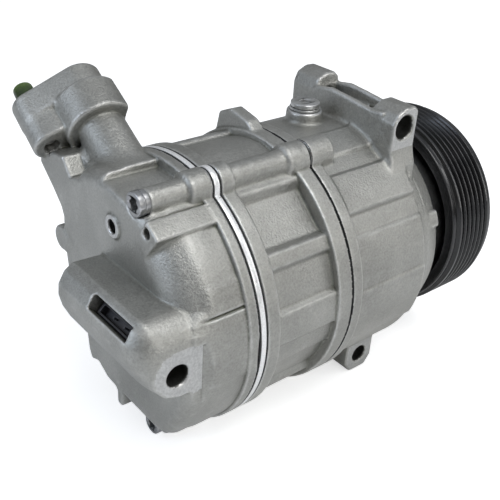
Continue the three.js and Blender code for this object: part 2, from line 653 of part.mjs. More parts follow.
part('pulley_bearing_outer', ring(142.4, 161.4, 23.4, 26.1, 16), 'steel');
part('pulley_bearing_inner', ring(142.4, 161.4, 17.8, 20.6, 16), 'steel');
part('pulley_bearing_ring', ring(161.8, 163.2, 17.95, 20.4, 14), 'steelDark');

// ------------------------------------------------------- hub and armature
const THIRDS = [0, 120, 240];
const armatureWindows = THIRDS.map((angle) => polarPoints([
  ...[12, 36, 60, 84, 108].map((a) => [36.4, a]),
  ...[108, 84, 60, 36, 12].map((a) => [39.2, a]),
], angle));
part('armature_plate', slabX(circle(ON_SHAFT, 48.4, 40), 165.2, 169.2,
  [circle(ON_SHAFT, 22.4, 24), ...armatureWindows]), 'steelDark');

// sleeve on the shaft nose and a three-armed flange in front of the armature
function clutchHub() {
  const arm = [[18, -50], [26, -24], [33, -11], [35, 0], [33, 11], [26, 24], [18, 50]];
  const star = slabX(THIRDS.flatMap((angle) => polarPoints(arm, angle)), 170.9, 172.9);
  const sleeve = turn([
    [152.5, 5.6], [152.5, 11.4], [166.8, 11.4], [166.8, 14.6],
    [173.6, 14.6], [173.6, 7.6], [170, 7.6], [170, 5.6],
  ], 16);
  return cut(
    add(sleeve, cut(star, rodX(160, 180, ON_SHAFT, 12, 12))),
    rodX(140, 180, ON_SHAFT, 5.6, 10),
  );
}
part('clutch_hub', clutchHub(), 'steel');
THIRDS.forEach((angle, i) => {
  const blade = slabX([[21, -4], [40, -4], [43, 0], [40, 4], [21, 4]], 169.7, 170.6);
  part(`hub_spring_${i + 1}`, blade.rotate([angle - 30, 0, 0]), 'steel');
});
part('hub_nut',
  slabX(circle(ON_SHAFT, 7, 6), 173.8, 179, [circle(ON_SHAFT, 4.15, 16)]), 'steel');

// ---------------------------------------------------- shaft and its bearings
part('drive_shaft', turn([
  [11, 0], [11, 5.6], [12, 6.6], [44.4, 6.6], [44.4, SHAFT_R], [104, SHAFT_R],
  [104, 8.6], [137, 8.6], [137.6, 7.2], [151.8, 7.2], [152.2, 5.2], [172.4, 5.2],
  [172.6, 3.9], [181.2, 3.9], [182, 3.2], [182, 0],
], 12), 'steel');
part('shaft_seal', turn([
  [139.2, 7.5], [139.2, 12.8], [148.6, 12.8], [148.6, 11.4],
  [141, 11.4], [141, 9.4], [147.4, 8.6], [147.4, 7.5],
], 14), 'rubber');
part('front_bearing', ring(114.6, 128.6, 8.9, 11.3, 14), 'steelDark');
part('rear_bearing', ring(16, 30, 6.9, 10.9, 12), 'steelDark');
part('thrust_bearing', ring(110.8, 113.1, 12.2, 23.4, 14), 'steelDark');

// -------------------------------------------------- variable stroke mechanism
// drawn with the tilt pivot straight up, then turned to its real direction
const mechanism = new THREE.Group();
mechanism.rotation.x = -PIVOT_ANGLE * DEG;
shift.add(mechanism);

const SIDES = [-1, 1];
const GUIDE_PIN = [PLATE_X + 16.2, 17.8];   // [x, z]

// disc on the shaft with two arms towards the swash plate
function lugPlate() {
  const disc = turn([
    [104, 8.9], [104, 42], [105.5, 45], [110.2, 45], [110.2, 30], [110.4, 23], [110.4, 8.9],
  ]);
  const arms = SIDES.map((side) => box([8.6, 5, 12], [100.2, side * 10.5, 18]));
  const bridge = box([4, 24, 8], [103.2, 0, 18]);
  return cut(add(disc, ...arms, bridge), rodX(90, 115, ON_SHAFT, 9.3, 12));
}
part('lug_plate', lugPlate(), 'castDark', mechanism);

// plate with a thicker hub and two horns that reach for the lug
function swashPlate() {
  const x = PLATE_X;
  const rear = x - PLATE_HALF;
  const front = x + PLATE_HALF;
  const disc = turn([
    [rear, 0], [rear, PLATE_R - 0.8], [rear + 0.8, PLATE_R],
    [front - 0.8, PLATE_R], [front, PLATE_R - 0.8], [front, 0],
  ], 26);
  const hub = turn([
    [x - 9, 0], [x - 9, 17], [rear + 0.4, 20], [front - 0.4, 20], [x + 9, 17], [x + 9, 0],
  ], 16);
  const horn = [
    [x + 4, 12], [x + 4, 27], [x + 17.4, 22.4], [x + 20, 20.2], [x + 20, 15], [x + 17.4, 12.8],
  ];
  const horns = SIDES.map((side) => slabY(horn, side * 5.2 - 2.2, side * 5.2 + 2.2));
  // clears the shaft and sleeve from no lean to full lean
  const bore = slabY([
    [x - 10, -11], [x - 10, 12.4], [x, 10.9], [x + 10, 10.9], [x + 10, -15.8], [x, -12.8],
  ], -10.9, 10.9);
  return cut(add(disc, hub, ...horns), bore, rodY(-20, 20, GUIDE_PIN, 2.6));
}
part('swash_plate', swashPlate(), 'alu', mechanism);
part('guide_pin', rodY(-12.6, 12.6, GUIDE_PIN, 2.2), 'steel', mechanism);
// carries the plate along the shaft
part('pivot_sleeve', ring(PLATE_X - 8.4, PLATE_X + 8.4, 8.35, 10.2, 12), 'steel', mechanism);

const ball = (radius) =>
  solid(new THREE.SphereGeometry(radius, 12, 8).translate(PLATE_X, 0, PITCH_R));

// one piston, drawn straight above the shaft
function piston() {
  const x = PLATE_X;
  const z = PITCH_R;
  const axis = [0, z];
  const crown = turn([
    [2.9, 0], [2.9, PISTON_R - 0.7], [3.6, PISTON_R],
    [47.6, PISTON_R], [48.4, PISTON_R - 0.8], [48.4, 0],
  ], 10).translate([0, 0, z]);
  // bridges the rim of the plate, with a socket block on each side
  const bridge = add(
    slabY([
      [42, z - 8.6], [57, z - 8.6], [57, z + 11.4], [x + 10.2, z + 11.4],
      [x + 10.2, z - 8.6], [x + 13.4, z - 8.6], [x + 13.4, z + 15.6], [42, z + 15.6],
    ], -9.4, 9.4),
    rodX(20, x - 6.3, axis, 9.3),
    rodX(x + 6.3, x + 13.4, axis, 9.3),
  ).intersect(rodX(10, 90, axis, PISTON_R - 0.06, 10));
  // room for the leaning plate, all round the ball's centre
  const room = turn([[x - 6.1, 0], [x - 12.4, 21], [x + 12.4, 21], [x + 6.1, 0]], 10)
    .translate([0, 0, z])
    .intersect(box([40, 60, 41.4], [x, 0, z + 11.4 - 20.7]));
  return cut(add(crown, bridge), ball(BALL_R + 0.6), room);
}

// cap of the ball on one side of the plate: -1 rear, 1 front
function shoe(side) {
  const keepX = PLATE_X + side * (PLATE_HALF + 0.3 + 5);
  return ball(BALL_R).intersect(box([10, 30, 30], [keepX, 0, PITCH_R]));
}

const onePiston = piston();
const rearShoe = shoe(-1);
const frontShoe = shoe(1);
CYLINDER_ANGLES.forEach((angle, i) => {
  const place = (name, body, look) =>
    part(name, body.rotate([PIVOT_ANGLE - angle, 0, 0]), look, mechanism);
  place(`piston_${i + 1}`, onePiston, 'alu');
  place(`shoe_${i + 1}_rear`, rearShoe, 'steel');
  place(`shoe_${i + 1}_front`, frontShoe, 'steel');
});

export default root;
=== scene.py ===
# Automotive air-conditioning compressor: fine castings, turned parts, materials, light and
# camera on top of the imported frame. The builders work in millimetres: x runs along the
# shaft from the valve plate (x = 0) forward to the pulley, z is up. Angles are in degrees
# about the shaft, from +z towards +y. to_metres() brings points to the row frame.
import itertools
import json
import math
import bpy
import numpy as np
from mathutils import Matrix, Vector
from mathutils.geometry import tessellate_polygon


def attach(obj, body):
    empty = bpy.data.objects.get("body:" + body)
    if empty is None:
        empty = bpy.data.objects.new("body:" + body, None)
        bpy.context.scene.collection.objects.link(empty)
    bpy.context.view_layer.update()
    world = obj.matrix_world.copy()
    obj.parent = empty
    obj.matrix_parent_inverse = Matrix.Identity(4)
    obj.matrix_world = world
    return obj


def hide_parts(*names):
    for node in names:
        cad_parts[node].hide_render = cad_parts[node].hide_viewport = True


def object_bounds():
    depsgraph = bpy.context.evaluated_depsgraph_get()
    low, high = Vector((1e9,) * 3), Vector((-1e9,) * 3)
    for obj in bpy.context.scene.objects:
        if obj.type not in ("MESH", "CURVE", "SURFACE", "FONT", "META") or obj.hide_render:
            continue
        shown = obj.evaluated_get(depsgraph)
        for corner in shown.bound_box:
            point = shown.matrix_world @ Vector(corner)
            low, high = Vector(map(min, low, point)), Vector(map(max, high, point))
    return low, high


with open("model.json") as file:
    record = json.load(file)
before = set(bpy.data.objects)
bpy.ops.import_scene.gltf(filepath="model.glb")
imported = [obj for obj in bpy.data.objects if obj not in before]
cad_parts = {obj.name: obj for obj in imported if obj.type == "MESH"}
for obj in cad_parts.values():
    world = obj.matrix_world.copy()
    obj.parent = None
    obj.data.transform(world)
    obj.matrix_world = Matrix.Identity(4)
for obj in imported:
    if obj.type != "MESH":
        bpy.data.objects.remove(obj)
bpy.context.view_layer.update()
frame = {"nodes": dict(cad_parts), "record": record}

DEG = math.pi / 180
ORIGIN = np.array([102.6, -38.0, 59.0])     # row origin: on the upper ear's face
GRID = 0.64                                 # grid step of the castings
MARGIN = 0.5                                # added round the bounds of a field shape


def polar(radius, angle):
    """(y, z) of a point at a radius and an angle about the shaft"""
    return radius * math.sin(angle * DEG), radius * math.cos(angle * DEG)


# Shared sizes and places
FLANGE_RADIUS = 64.3
HEAD_JOINT, HOUSING_JOINT = -2.26, 52.15    # x of the faces of rear head and front housing
BOLT_CIRCLE = 63.5
BOLT_ANGLES = [-20, 60, 124, -164]
LONG_SEAT, SHORT_SEAT = -30.2, -20.2        # x of the bolt head seats; the first bolt is long
BOLTS = [(polar(BOLT_CIRCLE, angle), LONG_SEAT if angle == BOLT_ANGLES[0] else SHORT_SEAT)
         for angle in BOLT_ANGLES]
CYLINDER_ANGLES = [16 + i * 360 / 5 for i in range(5)]
CYLINDER_CIRCLE, BORE_RADIUS = 38, 16.2
MOUNT_HOLE = (-40, 3)                       # (x, z)
VALVE = (-42, 9)                            # (x, z) of the control valve, which lies along y
VALVE_TILT = 46                             # slope of the valve connector
SMALL_BOSS = (-6.5, 43.4)                   # (y, z), drilled along x
FAR_PORT, FAR_SCREW = (-14, 3), (-14, -13)  # (x, z) on the +y side
UPPER_EAR, LOWER_EAR = (102.5, 68.3), (94.5, -59.9)     # (x, z) of the bracket bores
OIL_PLUG = (80.5, 7.2)                      # (x, y)

# Port tower: the port and the stud beside it stand along one leaning axis
TOWER_AXIS = np.array([0.0565, 0.8805, 0.4706])
TOWER_AXIS /= np.linalg.norm(TOWER_AXIS)
PORT_BASE = np.array([-13.69, 27.26, 58.52])
STUD_BASE = np.array([-34.01, 33.27, 49.72])
STUD_OFFSET = STUD_BASE - PORT_BASE
STUD_OFFSET = STUD_OFFSET - TOWER_AXIS * STUD_OFFSET.dot(TOWER_AXIS)
STUD_DISTANCE = np.linalg.norm(STUD_OFFSET)
TOWER_ACROSS = STUD_OFFSET / STUD_DISTANCE
TOWER_SIDE = np.cross(TOWER_AXIS, TOWER_ACROSS)


def tower_point(height, offset=0.0):
    return PORT_BASE + TOWER_AXIS * height + offset


# ------------------------------------------------------------------ distance fields
# A shape is (distance function of x, y, z; lowest corner; highest corner). In all of them
# edge is the radius of the outer edges.
def meet(first, second, edge=0.0):
    """intersection of two distances"""
    if np.isscalar(edge) and edge <= 0:
        return np.maximum(first, second)
    first = first + edge
    second = second + edge
    outside = np.sqrt(np.maximum(first, 0) ** 2 + np.maximum(second, 0) ** 2)
    return np.minimum(np.maximum(first, second), 0) + outside - edge


def blend(first, second, width):
    """union of two distances, with a fillet of the given width"""
    union = np.minimum(first, second)
    if width <= 0:
        return union
    return union - np.maximum(width - np.abs(first - second), 0) ** 2 / (4 * width)


def between(value, low, high):
    return np.abs(value - (low + high) / 2) - (high - low) / 2


def padded(points):
    points = np.asarray(points, float)
    return points.min(0) - MARGIN, points.max(0) + MARGIN


def outline_distance(outline, across, up):
    """signed distance to a closed polygon; across and up are broadcast together"""
    outline = np.asarray(outline, float)
    across, up = np.broadcast_arrays(across, up)
    nearest = np.full(across.shape, 1e9)
    inside = np.zeros(across.shape, bool)
    for start, end in zip(outline, np.roll(outline, -1, 0)):
        side = end - start
        square = side[0] * side[0] + side[1] * side[1]
        if square < 1e-12:
            continue
        right, above = across - start[0], up - start[1]
        part = np.clip((right * side[0] + above * side[1]) / square, 0, 1)
        gap = (right - part * side[0]) ** 2 + (above - part * side[1]) ** 2
        nearest = np.minimum(nearest, gap)
        if start[1] != end[1]:
            crosses = (start[1] > up) != (end[1] > up)
            inside ^= crosses & (across < side[0] * (up - start[1]) / side[1] + start[0])
    distance = np.sqrt(nearest)
    return np.where(inside, -distance, distance)


def rod(start, end, radius, end_radius=None, edge=0.0):
    """rod or cone between two points"""
    start, end = np.array(start, float), np.array(end, float)
    length = np.linalg.norm(end - start)
    axis = (end - start) / length
    end_radius = end_radius or radius
    slope = (end_radius - radius) / length

    def distance(x, y, z):
        x, y, z = x - start[0], y - start[1], z - start[2]
        along = x * axis[0] + y * axis[1] + z * axis[2]
        away = np.sqrt(np.maximum(x * x + y * y + z * z - along * along, 0))
        side = (away - (radius + slope * along)) / math.sqrt(1 + slope * slope)
        return meet(side, between(along, 0, length), edge)
    reach = max(radius, end_radius) * np.sqrt(np.maximum(1 - axis * axis, 0)) + MARGIN
    return distance, np.minimum(start, end) - reach, np.maximum(start, end) + reach


def bar(axis, start, end, place, radius, end_radius=None, edge=0.0):
    """rod along x, y or z; place gives its other two coordinates"""
    place = np.array(place, float)
    start, end = (np.insert(place, 'xyz'.index(axis), value) for value in (start, end))
    return rod(start, end, radius, end_radius, edge)


def slab(axis, outline, low, high, edge=0.0):
    """outline extruded along an axis. x: points are (y, z); y: (x, z); z: (x, y)"""
    outline = np.asarray(outline, float)
    index = 'xyz'.index(axis)

    def distance(*grid):
        flat = outline_distance(outline, *(grid[k] for k in range(3) if k != index))
        return meet(flat, between(grid[index], low, high), edge)
    return distance, *padded([np.insert(outline.min(0), index, low),
                              np.insert(outline.max(0), index, high)])


def box(centre, size, axes=None, edge=0.0):
    """the rows of axes are the directions of the box"""
    centre, half = np.array(centre, float), np.array(size, float) / 2
    axes = np.eye(3) if axes is None else np.array(axes, float)

    def distance(x, y, z):
        x, y, z = x - centre[0], y - centre[1], z - centre[2]
        sides = [np.abs(x * axes[k, 0] + y * axes[k, 1] + z * axes[k, 2]) - half[k] + edge
                 for k in range(3)]
        outside = np.sqrt(sum(np.maximum(side, 0) ** 2 for side in sides))
        deepest = np.maximum(np.maximum(sides[0], sides[1]), sides[2])
        return outside + np.minimum(deepest, 0) - edge
    reach = np.abs(axes.T) @ half + MARGIN
    return distance, centre - reach, centre + reach


def whole_slice(start, end):
    """everything between two stations"""
    return box(((start + end) / 2, 0, 0), (end - start, 200, 200))


def turned(profile):
    """profile of (x, radius) turned about the shaft axis"""
    outline = list(profile)
    stations, radii = np.array(outline, float).T
    if radii[0] <= 0 and radii[-1] <= 0:    # carry a solid past the axis
        outline += [(stations[-1], -30.0), (stations[0], -30.0)]

    def distance(x, y, z):
        away = np.sqrt(y * y + z * z)
        samples = np.arange(0, away.max() + 0.6, 0.4)
        table = outline_distance(outline, np.ravel(x)[:, None], samples[None, :])
        return np.array([np.interp(away[0], samples, row) for row in table])
    widest = radii.max()
    return distance, *padded([(stations.min(), -widest, -widest),
                              (stations.max(), widest, widest)])


def contour(table, start, end, edge=0.0, inner=40):
    """body between two stations whose radius follows a table of (angle, radius)"""
    table = sorted(table)
    (first, first_radius), (last, last_radius) = table[0], table[-1]
    table = [(last - 360, last_radius), *table, (first + 360, first_radius)]
    angles, radii = np.array(table, float).T

    def distance(x, y, z):
        away = np.sqrt(y * y + z * z)
        side = away - np.interp(np.degrees(np.arctan2(y, z)), angles, radii)
        return meet(np.maximum(side, inner - away), between(x, start, end), edge)
    widest = radii.max()
    return distance, *padded([(start, -widest, -widest), (end, widest, widest)])


def sector(angle0, angle1, radius0, radius1, start, end, edge=0.0):
    """block between two angles, two radii and two stations"""
    middle, half = (angle0 + angle1) / 2 * DEG, (angle1 - angle0) / 2 * DEG

    def distance(x, y, z):
        angle = np.arctan2(y, z) - middle
        angle = (angle + np.pi) % (2 * np.pi) - np.pi
        away = np.sqrt(y * y + z * z)
        side = (np.abs(angle) - half) * away
        side = meet(side, between(away, radius0, radius1), edge)
        return meet(side, between(x, start, end), edge)
    rim = np.array([polar(radius, angle) for radius in (radius0, radius1)
                    for angle in np.linspace(angle0, angle1, 9)])
    return distance, *padded([(start, *rim.min(0)), (end, *rim.max(0))])


def stadium(start, end, radius, low, high, edge=0.0, start_radius=None):
    """two joined discs square to the tower axis, start and end measured towards the stud"""
    start_radius = start_radius or radius

    def distance(x, y, z):
        x, y, z = x - PORT_BASE[0], y - PORT_BASE[1], z - PORT_BASE[2]
        across, side, height = (x * axis[0] + y * axis[1] + z * axis[2]
                                for axis in (TOWER_ACROSS, TOWER_SIDE, TOWER_AXIS))
        middle = np.clip(across, start, end)
        local = radius + (start_radius - radius) * (end - middle) / (end - start)
        flat = np.sqrt((across - middle) ** 2 + side * side) - local
        return meet(flat, between(height, low, high), edge)
    widest = max(radius, start_radius)
    return distance, *padded([
        tower_point(height) + TOWER_ACROSS * across + TOWER_SIDE * side
        for height in (low, high) for across in (start - start_radius, end + radius)
        for side in (-widest, widest)])


def without(shape, hole):
    return (lambda x, y, z: np.maximum(shape[0](x, y, z), -hole[0](x, y, z))), *shape[1:]


def flange_outline(base=FLANGE_RADIUS, boss=7.6):
    """circle with a round lobe at each bolt, one point a degree"""
    outline = []
    for angle in range(360):
        radius = base
        for bolt in BOLT_ANGLES:
            turn = (angle - bolt + 540) % 360 - 180
            side = BOLT_CIRCLE * math.sin(turn * DEG)
            if abs(turn) < 12 and abs(side) < boss:
                lobe = math.sqrt(boss * boss - side * side)
                radius = max(radius, BOLT_CIRCLE * math.cos(turn * DEG) + lobe)
        outline.append(polar(radius, angle))
    return outline


class Field:
    """grid of distances that shapes are added to and cut from"""

    def __init__(self, low, high):
        self.low = np.array(low, float)
        self.count = np.ceil((np.array(high, float) - self.low) / GRID).astype(int) + 1
        self.values = np.full(self.count, 8.0, np.float32)

    def sample(self, shape, width):
        """the part of the grid that a shape can change, and its distances there"""
        distance, low, high = shape
        pad = max(width, 3 * GRID) + GRID
        first = np.floor((np.asarray(low) - pad - self.low) / GRID).astype(int)
        last = np.ceil((np.asarray(high) + pad - self.low) / GRID).astype(int) + 1
        first, last = np.clip(first, 0, self.count - 1), np.clip(last, 1, self.count)
        x, y, z = (self.low[k] + GRID * np.arange(first[k], last[k]) for k in range(3))
        found = distance(x[:, None, None], y[None, :, None], z[None, None, :])
        part = tuple(slice(*ends) for ends in zip(first, last))
        return part, np.broadcast_to(found, tuple(last - first)).astype(np.float32)

    def add(self, shape, width=0.0):
        part, distance = self.sample(shape, width)
        self.values[part] = blend(self.values[part], distance, width)

    def cut(self, shape, width=0.0):
        part, distance = self.sample(shape, width)
        self.values[part] = -blend(-self.values[part], distance, width)

    def soften(self):
        """a small blur along each axis"""
        values = np.clip(self.values, -4 * GRID, 4 * GRID)
        for axis in range(3):
            rows = np.moveaxis(values, axis, 0)
            blurred = rows.copy()
            blurred[1:-1] = 0.25 * rows[:-2] + 0.5 * rows[1:-1] + 0.25 * rows[2:]
            values = np.moveaxis(blurred, 0, axis)
        self.values = values

    def mesh(self):
        """one point in every cell the surface crosses, one quad for every crossed grid edge"""
        values = self.values.copy()
        for axis in range(3):               # close at the border of the grid
            layers = np.moveaxis(values, axis, 0)
            for end in (0, -1):
                layers[end] = np.maximum(layers[end], 0.3)
        inside = values < 0
        shape = tuple(n - 1 for n in values.shape)
        corners = list(itertools.product((0, 1), repeat=3))
        filled = np.zeros(shape, np.int8)
        for corner in corners:
            filled += inside[tuple(slice(k, k + n) for k, n in zip(corner, shape))]
        cells = np.argwhere((filled > 0) & (filled < 8))
        ids = np.full(shape, -1, np.int32)
        ids[tuple(cells.T)] = np.arange(len(cells))
        total, hits = np.zeros((len(cells), 3)), np.zeros(len(cells))
        at_corner = {corner: values[tuple((cells + corner).T)] for corner in corners}
        for corner in corners:
            for axis in range(3):
                if corner[axis]:
                    continue
                other = tuple(1 if k == axis else corner[k] for k in range(3))
                here, there = at_corner[corner], at_corner[other]
                crossed = (here < 0) != (there < 0)
                point = np.tile(np.array(corner, float), (crossed.sum(), 1))
                point[:, axis] += here[crossed] / (here[crossed] - there[crossed])
                total[crossed] += point
                hits[crossed] += 1
        points = (cells + total / hits[:, None]) * GRID + self.low
        quads = []
        for axis in range(3):
            edges = np.argwhere(np.diff(inside, axis=axis))
            steps = []
            for other in ((axis + 1) % 3, (axis + 2) % 3):
                place = edges[:, other]
                edges = edges[(place > 0) & (place < values.shape[other] - 1)]
                steps.append(np.eye(3, dtype=int)[other])
            first, second = steps
            quad = np.stack([ids[tuple((edges - step).T)]
                             for step in (first + second, second, 0 * first, first)], 1)
            outer = ~inside[tuple(edges.T)]
            quad[outer] = quad[outer][:, ::-1]
            quads.append(quad)
        return points, np.concatenate(quads)


# ------------------------------------------------------------------ meshes
def to_metres(points):
    return (np.asarray(points, float) - ORIGIN) / 1000


def make(name, geometry, node, body, materials, pick=None, sharp=None):
    """mesh object in place of a node; pick gives material indices from centres and normals"""
    points, faces = geometry
    mesh = bpy.data.meshes.new(name)
    mesh.vertices.add(len(points))
    mesh.vertices.foreach_set('co', to_metres(points).ravel())
    sizes = np.array([len(face) for face in faces])
    corners = np.concatenate(faces)
    mesh.loops.add(len(corners))
    mesh.loops.foreach_set('vertex_index', corners.astype(np.int32))
    mesh.polygons.add(len(sizes))
    mesh.polygons.foreach_set('loop_start', (np.cumsum(sizes) - sizes).astype(np.int32))
    mesh.update(calc_edges=True)
    mesh.validate()
    for material in materials:
        mesh.materials.append(material)
    count = len(mesh.polygons)
    if pick:
        centres, normals = np.zeros(count * 3), np.zeros(count * 3)
        mesh.polygons.foreach_get('center', centres)
        mesh.polygons.foreach_get('normal', normals)
        indices = pick(centres.reshape(-1, 3) * 1000 + ORIGIN, normals.reshape(-1, 3))
        mesh.polygons.foreach_set('material_index', indices.astype(np.int32))
    mesh.polygons.foreach_set('use_smooth', np.ones(count, bool))
    if sharp:
        mesh.set_sharp_from_angle(angle=sharp * DEG)
    thing = bpy.data.objects.new(name, mesh)
    bpy.context.scene.collection.objects.link(thing)
    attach(thing, body)
    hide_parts(node)


def fillet(outline, corner, closed=True, steps=3):
    """round the corners of a polygon; points may be (a, b) or (a, b, own radius)"""
    rounded = []
    count = len(outline)
    for i, (first, second, *own) in enumerate(outline):
        point = np.array((first, second), float)
        radius = own[0] if own else corner
        if (not closed and i in (0, count - 1)) or radius <= 0:
            rounded.append(tuple(point))
            continue
        back = np.array(outline[i - 1][:2], float) - point
        ahead = np.array(outline[(i + 1) % count][:2], float) - point
        back_length, ahead_length = np.linalg.norm(back), np.linalg.norm(ahead)
        if back_length < 1e-6 or ahead_length < 1e-6:
            continue
        back, ahead = back / back_length, ahead / ahead_length
        half = math.acos(float(np.clip(back.dot(ahead), -1, 1))) / 2
        if half > math.radians(87):
            rounded.append(tuple(point))
            continue
        reach = min(radius / math.tan(half), back_length * 0.45, ahead_length * 0.45)
        start, end = point + back * reach, point + ahead * reach
        for k in range(steps + 1):
            t = k / steps
            rounded.append(tuple(start * (1 - t) ** 2 + point * 2 * t * (1 - t) + end * t * t))
    return rounded


def outward(points, faces):
    """turn all faces round if they enclose a negative volume"""
    volume = 0.0
    for face in faces:
        for k in range(1, len(face) - 1):
            side = np.cross(points[face[k]], points[face[k + 1]])
            volume += np.dot(points[face[0]], side)
    return [face[::-1] for face in faces] if volume < 0 else faces


def lathe(profile, corner=0.0, seg=144, origin=(0, 0, 0), axis=(1, 0, 0)):
    """profile of (station, radius) turned about an axis, its corners rounded by corner;
    open profiles start and end on the axis"""
    closed = profile[0][1] > 1e-6
    if corner:
        profile = fillet(profile, corner, closed)
    origin, axis = np.array(origin, float), np.array(axis, float)
    axis = axis / np.linalg.norm(axis)
    across = np.cross(axis, (0, 0, 1.0) if abs(axis[2]) < 0.9 else (1.0, 0, 0))
    across /= np.linalg.norm(across)
    angles = np.arange(seg) * 2 * math.pi / seg
    unit = np.cos(angles)[:, None] * across + np.sin(angles)[:, None] * np.cross(axis, across)
    rings, points = [], []
    for station, radius in profile:
        if radius < 1e-6:
            rings.append([len(points)] * seg)
            points.append(origin + axis * station)
        else:
            rings.append(list(range(len(points), len(points) + seg)))
            points.extend(origin + axis * station + unit * radius)
    pairs = list(zip(rings, rings[1:] + rings[:1]))
    faces = []
    for ring, following in pairs if closed else pairs[:-1]:
        for k in range(seg):
            after = (k + 1) % seg
            corners = (ring[k], ring[after], following[after], following[k])
            face = tuple(dict.fromkeys(corners))
            if len(face) > 2:
                faces.append(face)
    points = np.array(points)
    return points, outward(points, faces)


def plate(outline, holes, start, end, edge=0.0, steps=2,
          origin=(0, 0, 0), across=(0, 1, 0), up=(0, 0, 1), normal=(1, 0, 0)):
    """flat outline with holes, from start to end along normal; its rims are rounded by edge"""
    origin, across, up, normal = (np.array(v, float) for v in (origin, across, up, normal))
    loops = [np.array(loop, float) for loop in (outline, *holes)]
    flat = np.concatenate(loops)
    total = len(flat)
    sides = []          # 1 where the solid lies to the left of the loop, else -1
    for j, loop in enumerate(loops):
        after = np.roll(loop, -1, 0)
        anticlockwise = np.sum(loop[:, 0] * after[:, 1] - after[:, 0] * loop[:, 1]) > 0
        sides.append(1 if anticlockwise == (j == 0) else -1)

    def inset(loop, depth):
        along = np.roll(loop, -1, 0) - np.roll(loop, 1, 0)
        along /= np.maximum(np.linalg.norm(along, axis=1), 1e-9)[:, None]
        return loop - np.stack([along[:, 1], -along[:, 0]], 1) * depth
    layers = [(start, edge)]                # (station, inset)
    if edge > 0:
        for k in range(1, steps + 1):
            turn = k * math.pi / 2 / steps
            layers.append((start + edge * (1 - math.cos(turn)), edge * (1 - math.sin(turn))))
    layers += [(start + end - station, depth) for station, depth in reversed(layers)]
    points = []
    for station, depth in layers:
        for loop, side in zip(loops, sides):
            rim = inset(loop, depth * side)
            points.extend(origin + normal * station + rim[:, :1] * across + rim[:, 1:] * up)
    faces = []
    for layer in range(len(layers) - 1):
        first = layer * total
        for loop, side in zip(loops, sides):
            for k in range(len(loop)):
                here, after = first + k, first + (k + 1) % len(loop)
                faces.append((here, here + total, after + total, after)[::-side])
            first += len(loop)
    top = (len(layers) - 1) * total
    for face in tessellate_polygon([[Vector((*p, 0)) for p in loop] for loop in loops]):
        face = tuple(face)
        one, two, three = flat[list(face)]
        two, three = two - one, three - one
        if not two[0] * three[1] - two[1] * three[0] > 0:
            face = (face[0], face[2], face[1])
        faces.append(tuple(top + i for i in face))
        faces.append(face[::-1])
    if np.dot(np.cross(across, up), normal) < 0:
        faces = [face[::-1] for face in faces]
    return np.array(points), faces


def join(*parts):
    all_points, all_faces, shift = [], [], 0
    for points, faces in parts:
        all_points.append(points)
        all_faces.extend(tuple(i + shift for i in face) for face in faces)
        shift += len(points)
    return np.concatenate(all_points), all_faces


def sweep(path, radius, seg):
    """round cord along a path"""
    path = np.array(path, float)
    tangents = np.gradient(path, axis=0)
    tangents /= np.linalg.norm(tangents, axis=1)[:, None]
    across = np.cross(tangents[0], (0, 0, 1.0))
    across /= np.linalg.norm(across)
    angles = (np.arange(seg) * 2 * math.pi / seg)[:, None]
    points, faces = [], []
    for i, (place, tangent) in enumerate(zip(path, tangents)):
        across = across - tangent * across.dot(tangent)
        across /= np.linalg.norm(across)
        other = np.cross(tangent, across)
        points.extend(place + radius * (np.cos(angles) * across + np.sin(angles) * other))
        if i:
            old, new = (i - 1) * seg, i * seg
            for k in range(seg):
                after = (k + 1) % seg
                faces.append((old + k, new + k, new + after, old + after))
    faces.append(tuple(range(seg)))
    faces.append(tuple(range((len(path) - 1) * seg, len(path) * seg))[::-1])
    points = np.array(points)
    return points, outward(points, faces)


def spline(points, steps):
    """smooth curve through the points"""
    points = np.array(points, float)
    points = np.vstack([2 * points[0] - points[1], points, 2 * points[-1] - points[-2]])
    curve = []
    for i in range(len(points) - 3):
        before, start, end, after = points[i:i + 4]
        square = 2 * before - 5 * start + 4 * end - after
        cube = 3 * start - before - 3 * end + after
        for k in range(steps):
            t = k / steps
            curve.append(0.5 * (2 * start + (end - before) * t + square * t * t
                                + cube * t ** 3))
    curve.append(points[-2])
    return np.array(curve)


def circle(first, second, radius, count=48):
    turns = [2 * math.pi * i / count for i in range(count)]
    return [(first + radius * math.cos(t), second + radius * math.sin(t)) for t in turns]


def star(y, z, inner, outer):
    """socket outline with six lobes"""
    outline = []
    for i in range(48):
        turn = 2 * math.pi * i / 48
        radius = (inner + outer) / 2 + (outer - inner) / 2 * math.cos(6 * turn)
        outline.append((y + radius * math.cos(turn), z + radius * math.sin(turn)))
    return outline


def rectangle(left, bottom, right, top):
    return [(left, bottom), (right, bottom), (right, top), (left, top)]


def ring(start, end, inner, outer, corner, seg=144, **placing):
    """plain turned ring"""
    profile = [(start, inner), (start, outer), (end, outer), (end, inner)]
    return lathe(profile, corner, seg, **placing)


def thread(start, end, first, second):
    """zigzag profile, one turn a millimetre; first and second are (radius, corner if any)"""
    profile = []
    while start < end:
        profile += [(start, *first), (start + 0.5, *second)]
        start += 1.0
    return profile


# ------------------------------------------------------------------ rear head
# Raised platform on the rear face, (y, z)
PLATFORM = [(-70, -43.5), (-2.7, -43.4), (4.5, -42.9), (12.6, -38.5), (19, -40.9),
            (21.3, -36.3), (22.8, -25.6), (30, -12), (37, 5), (38.9, 25.8), (38.3, 30.2),
            (42, 46), (22, 80), (-70, 80)]
# Transverse tube and the mounting face at its -y end, (x, z)
TUBE = [(-26, 25.4), (-49.9, 26.6), (-54, 24), (-57.1, 18.7), (-57.6, 13.4), (-56.1, 7.3),
        (-52.8, 0.4), (-47.4, -5.6), (-41, -8.8), (-26, -10)]
MOUNT_FACE = [(-26, 13.2), (-44.4, 12.7), (-48.9, 10.1), (-50.8, 5.4), (-50.5, 0.9),
              (-45.7, -5.2), (-39.1, -7.6), (-26, -8)]


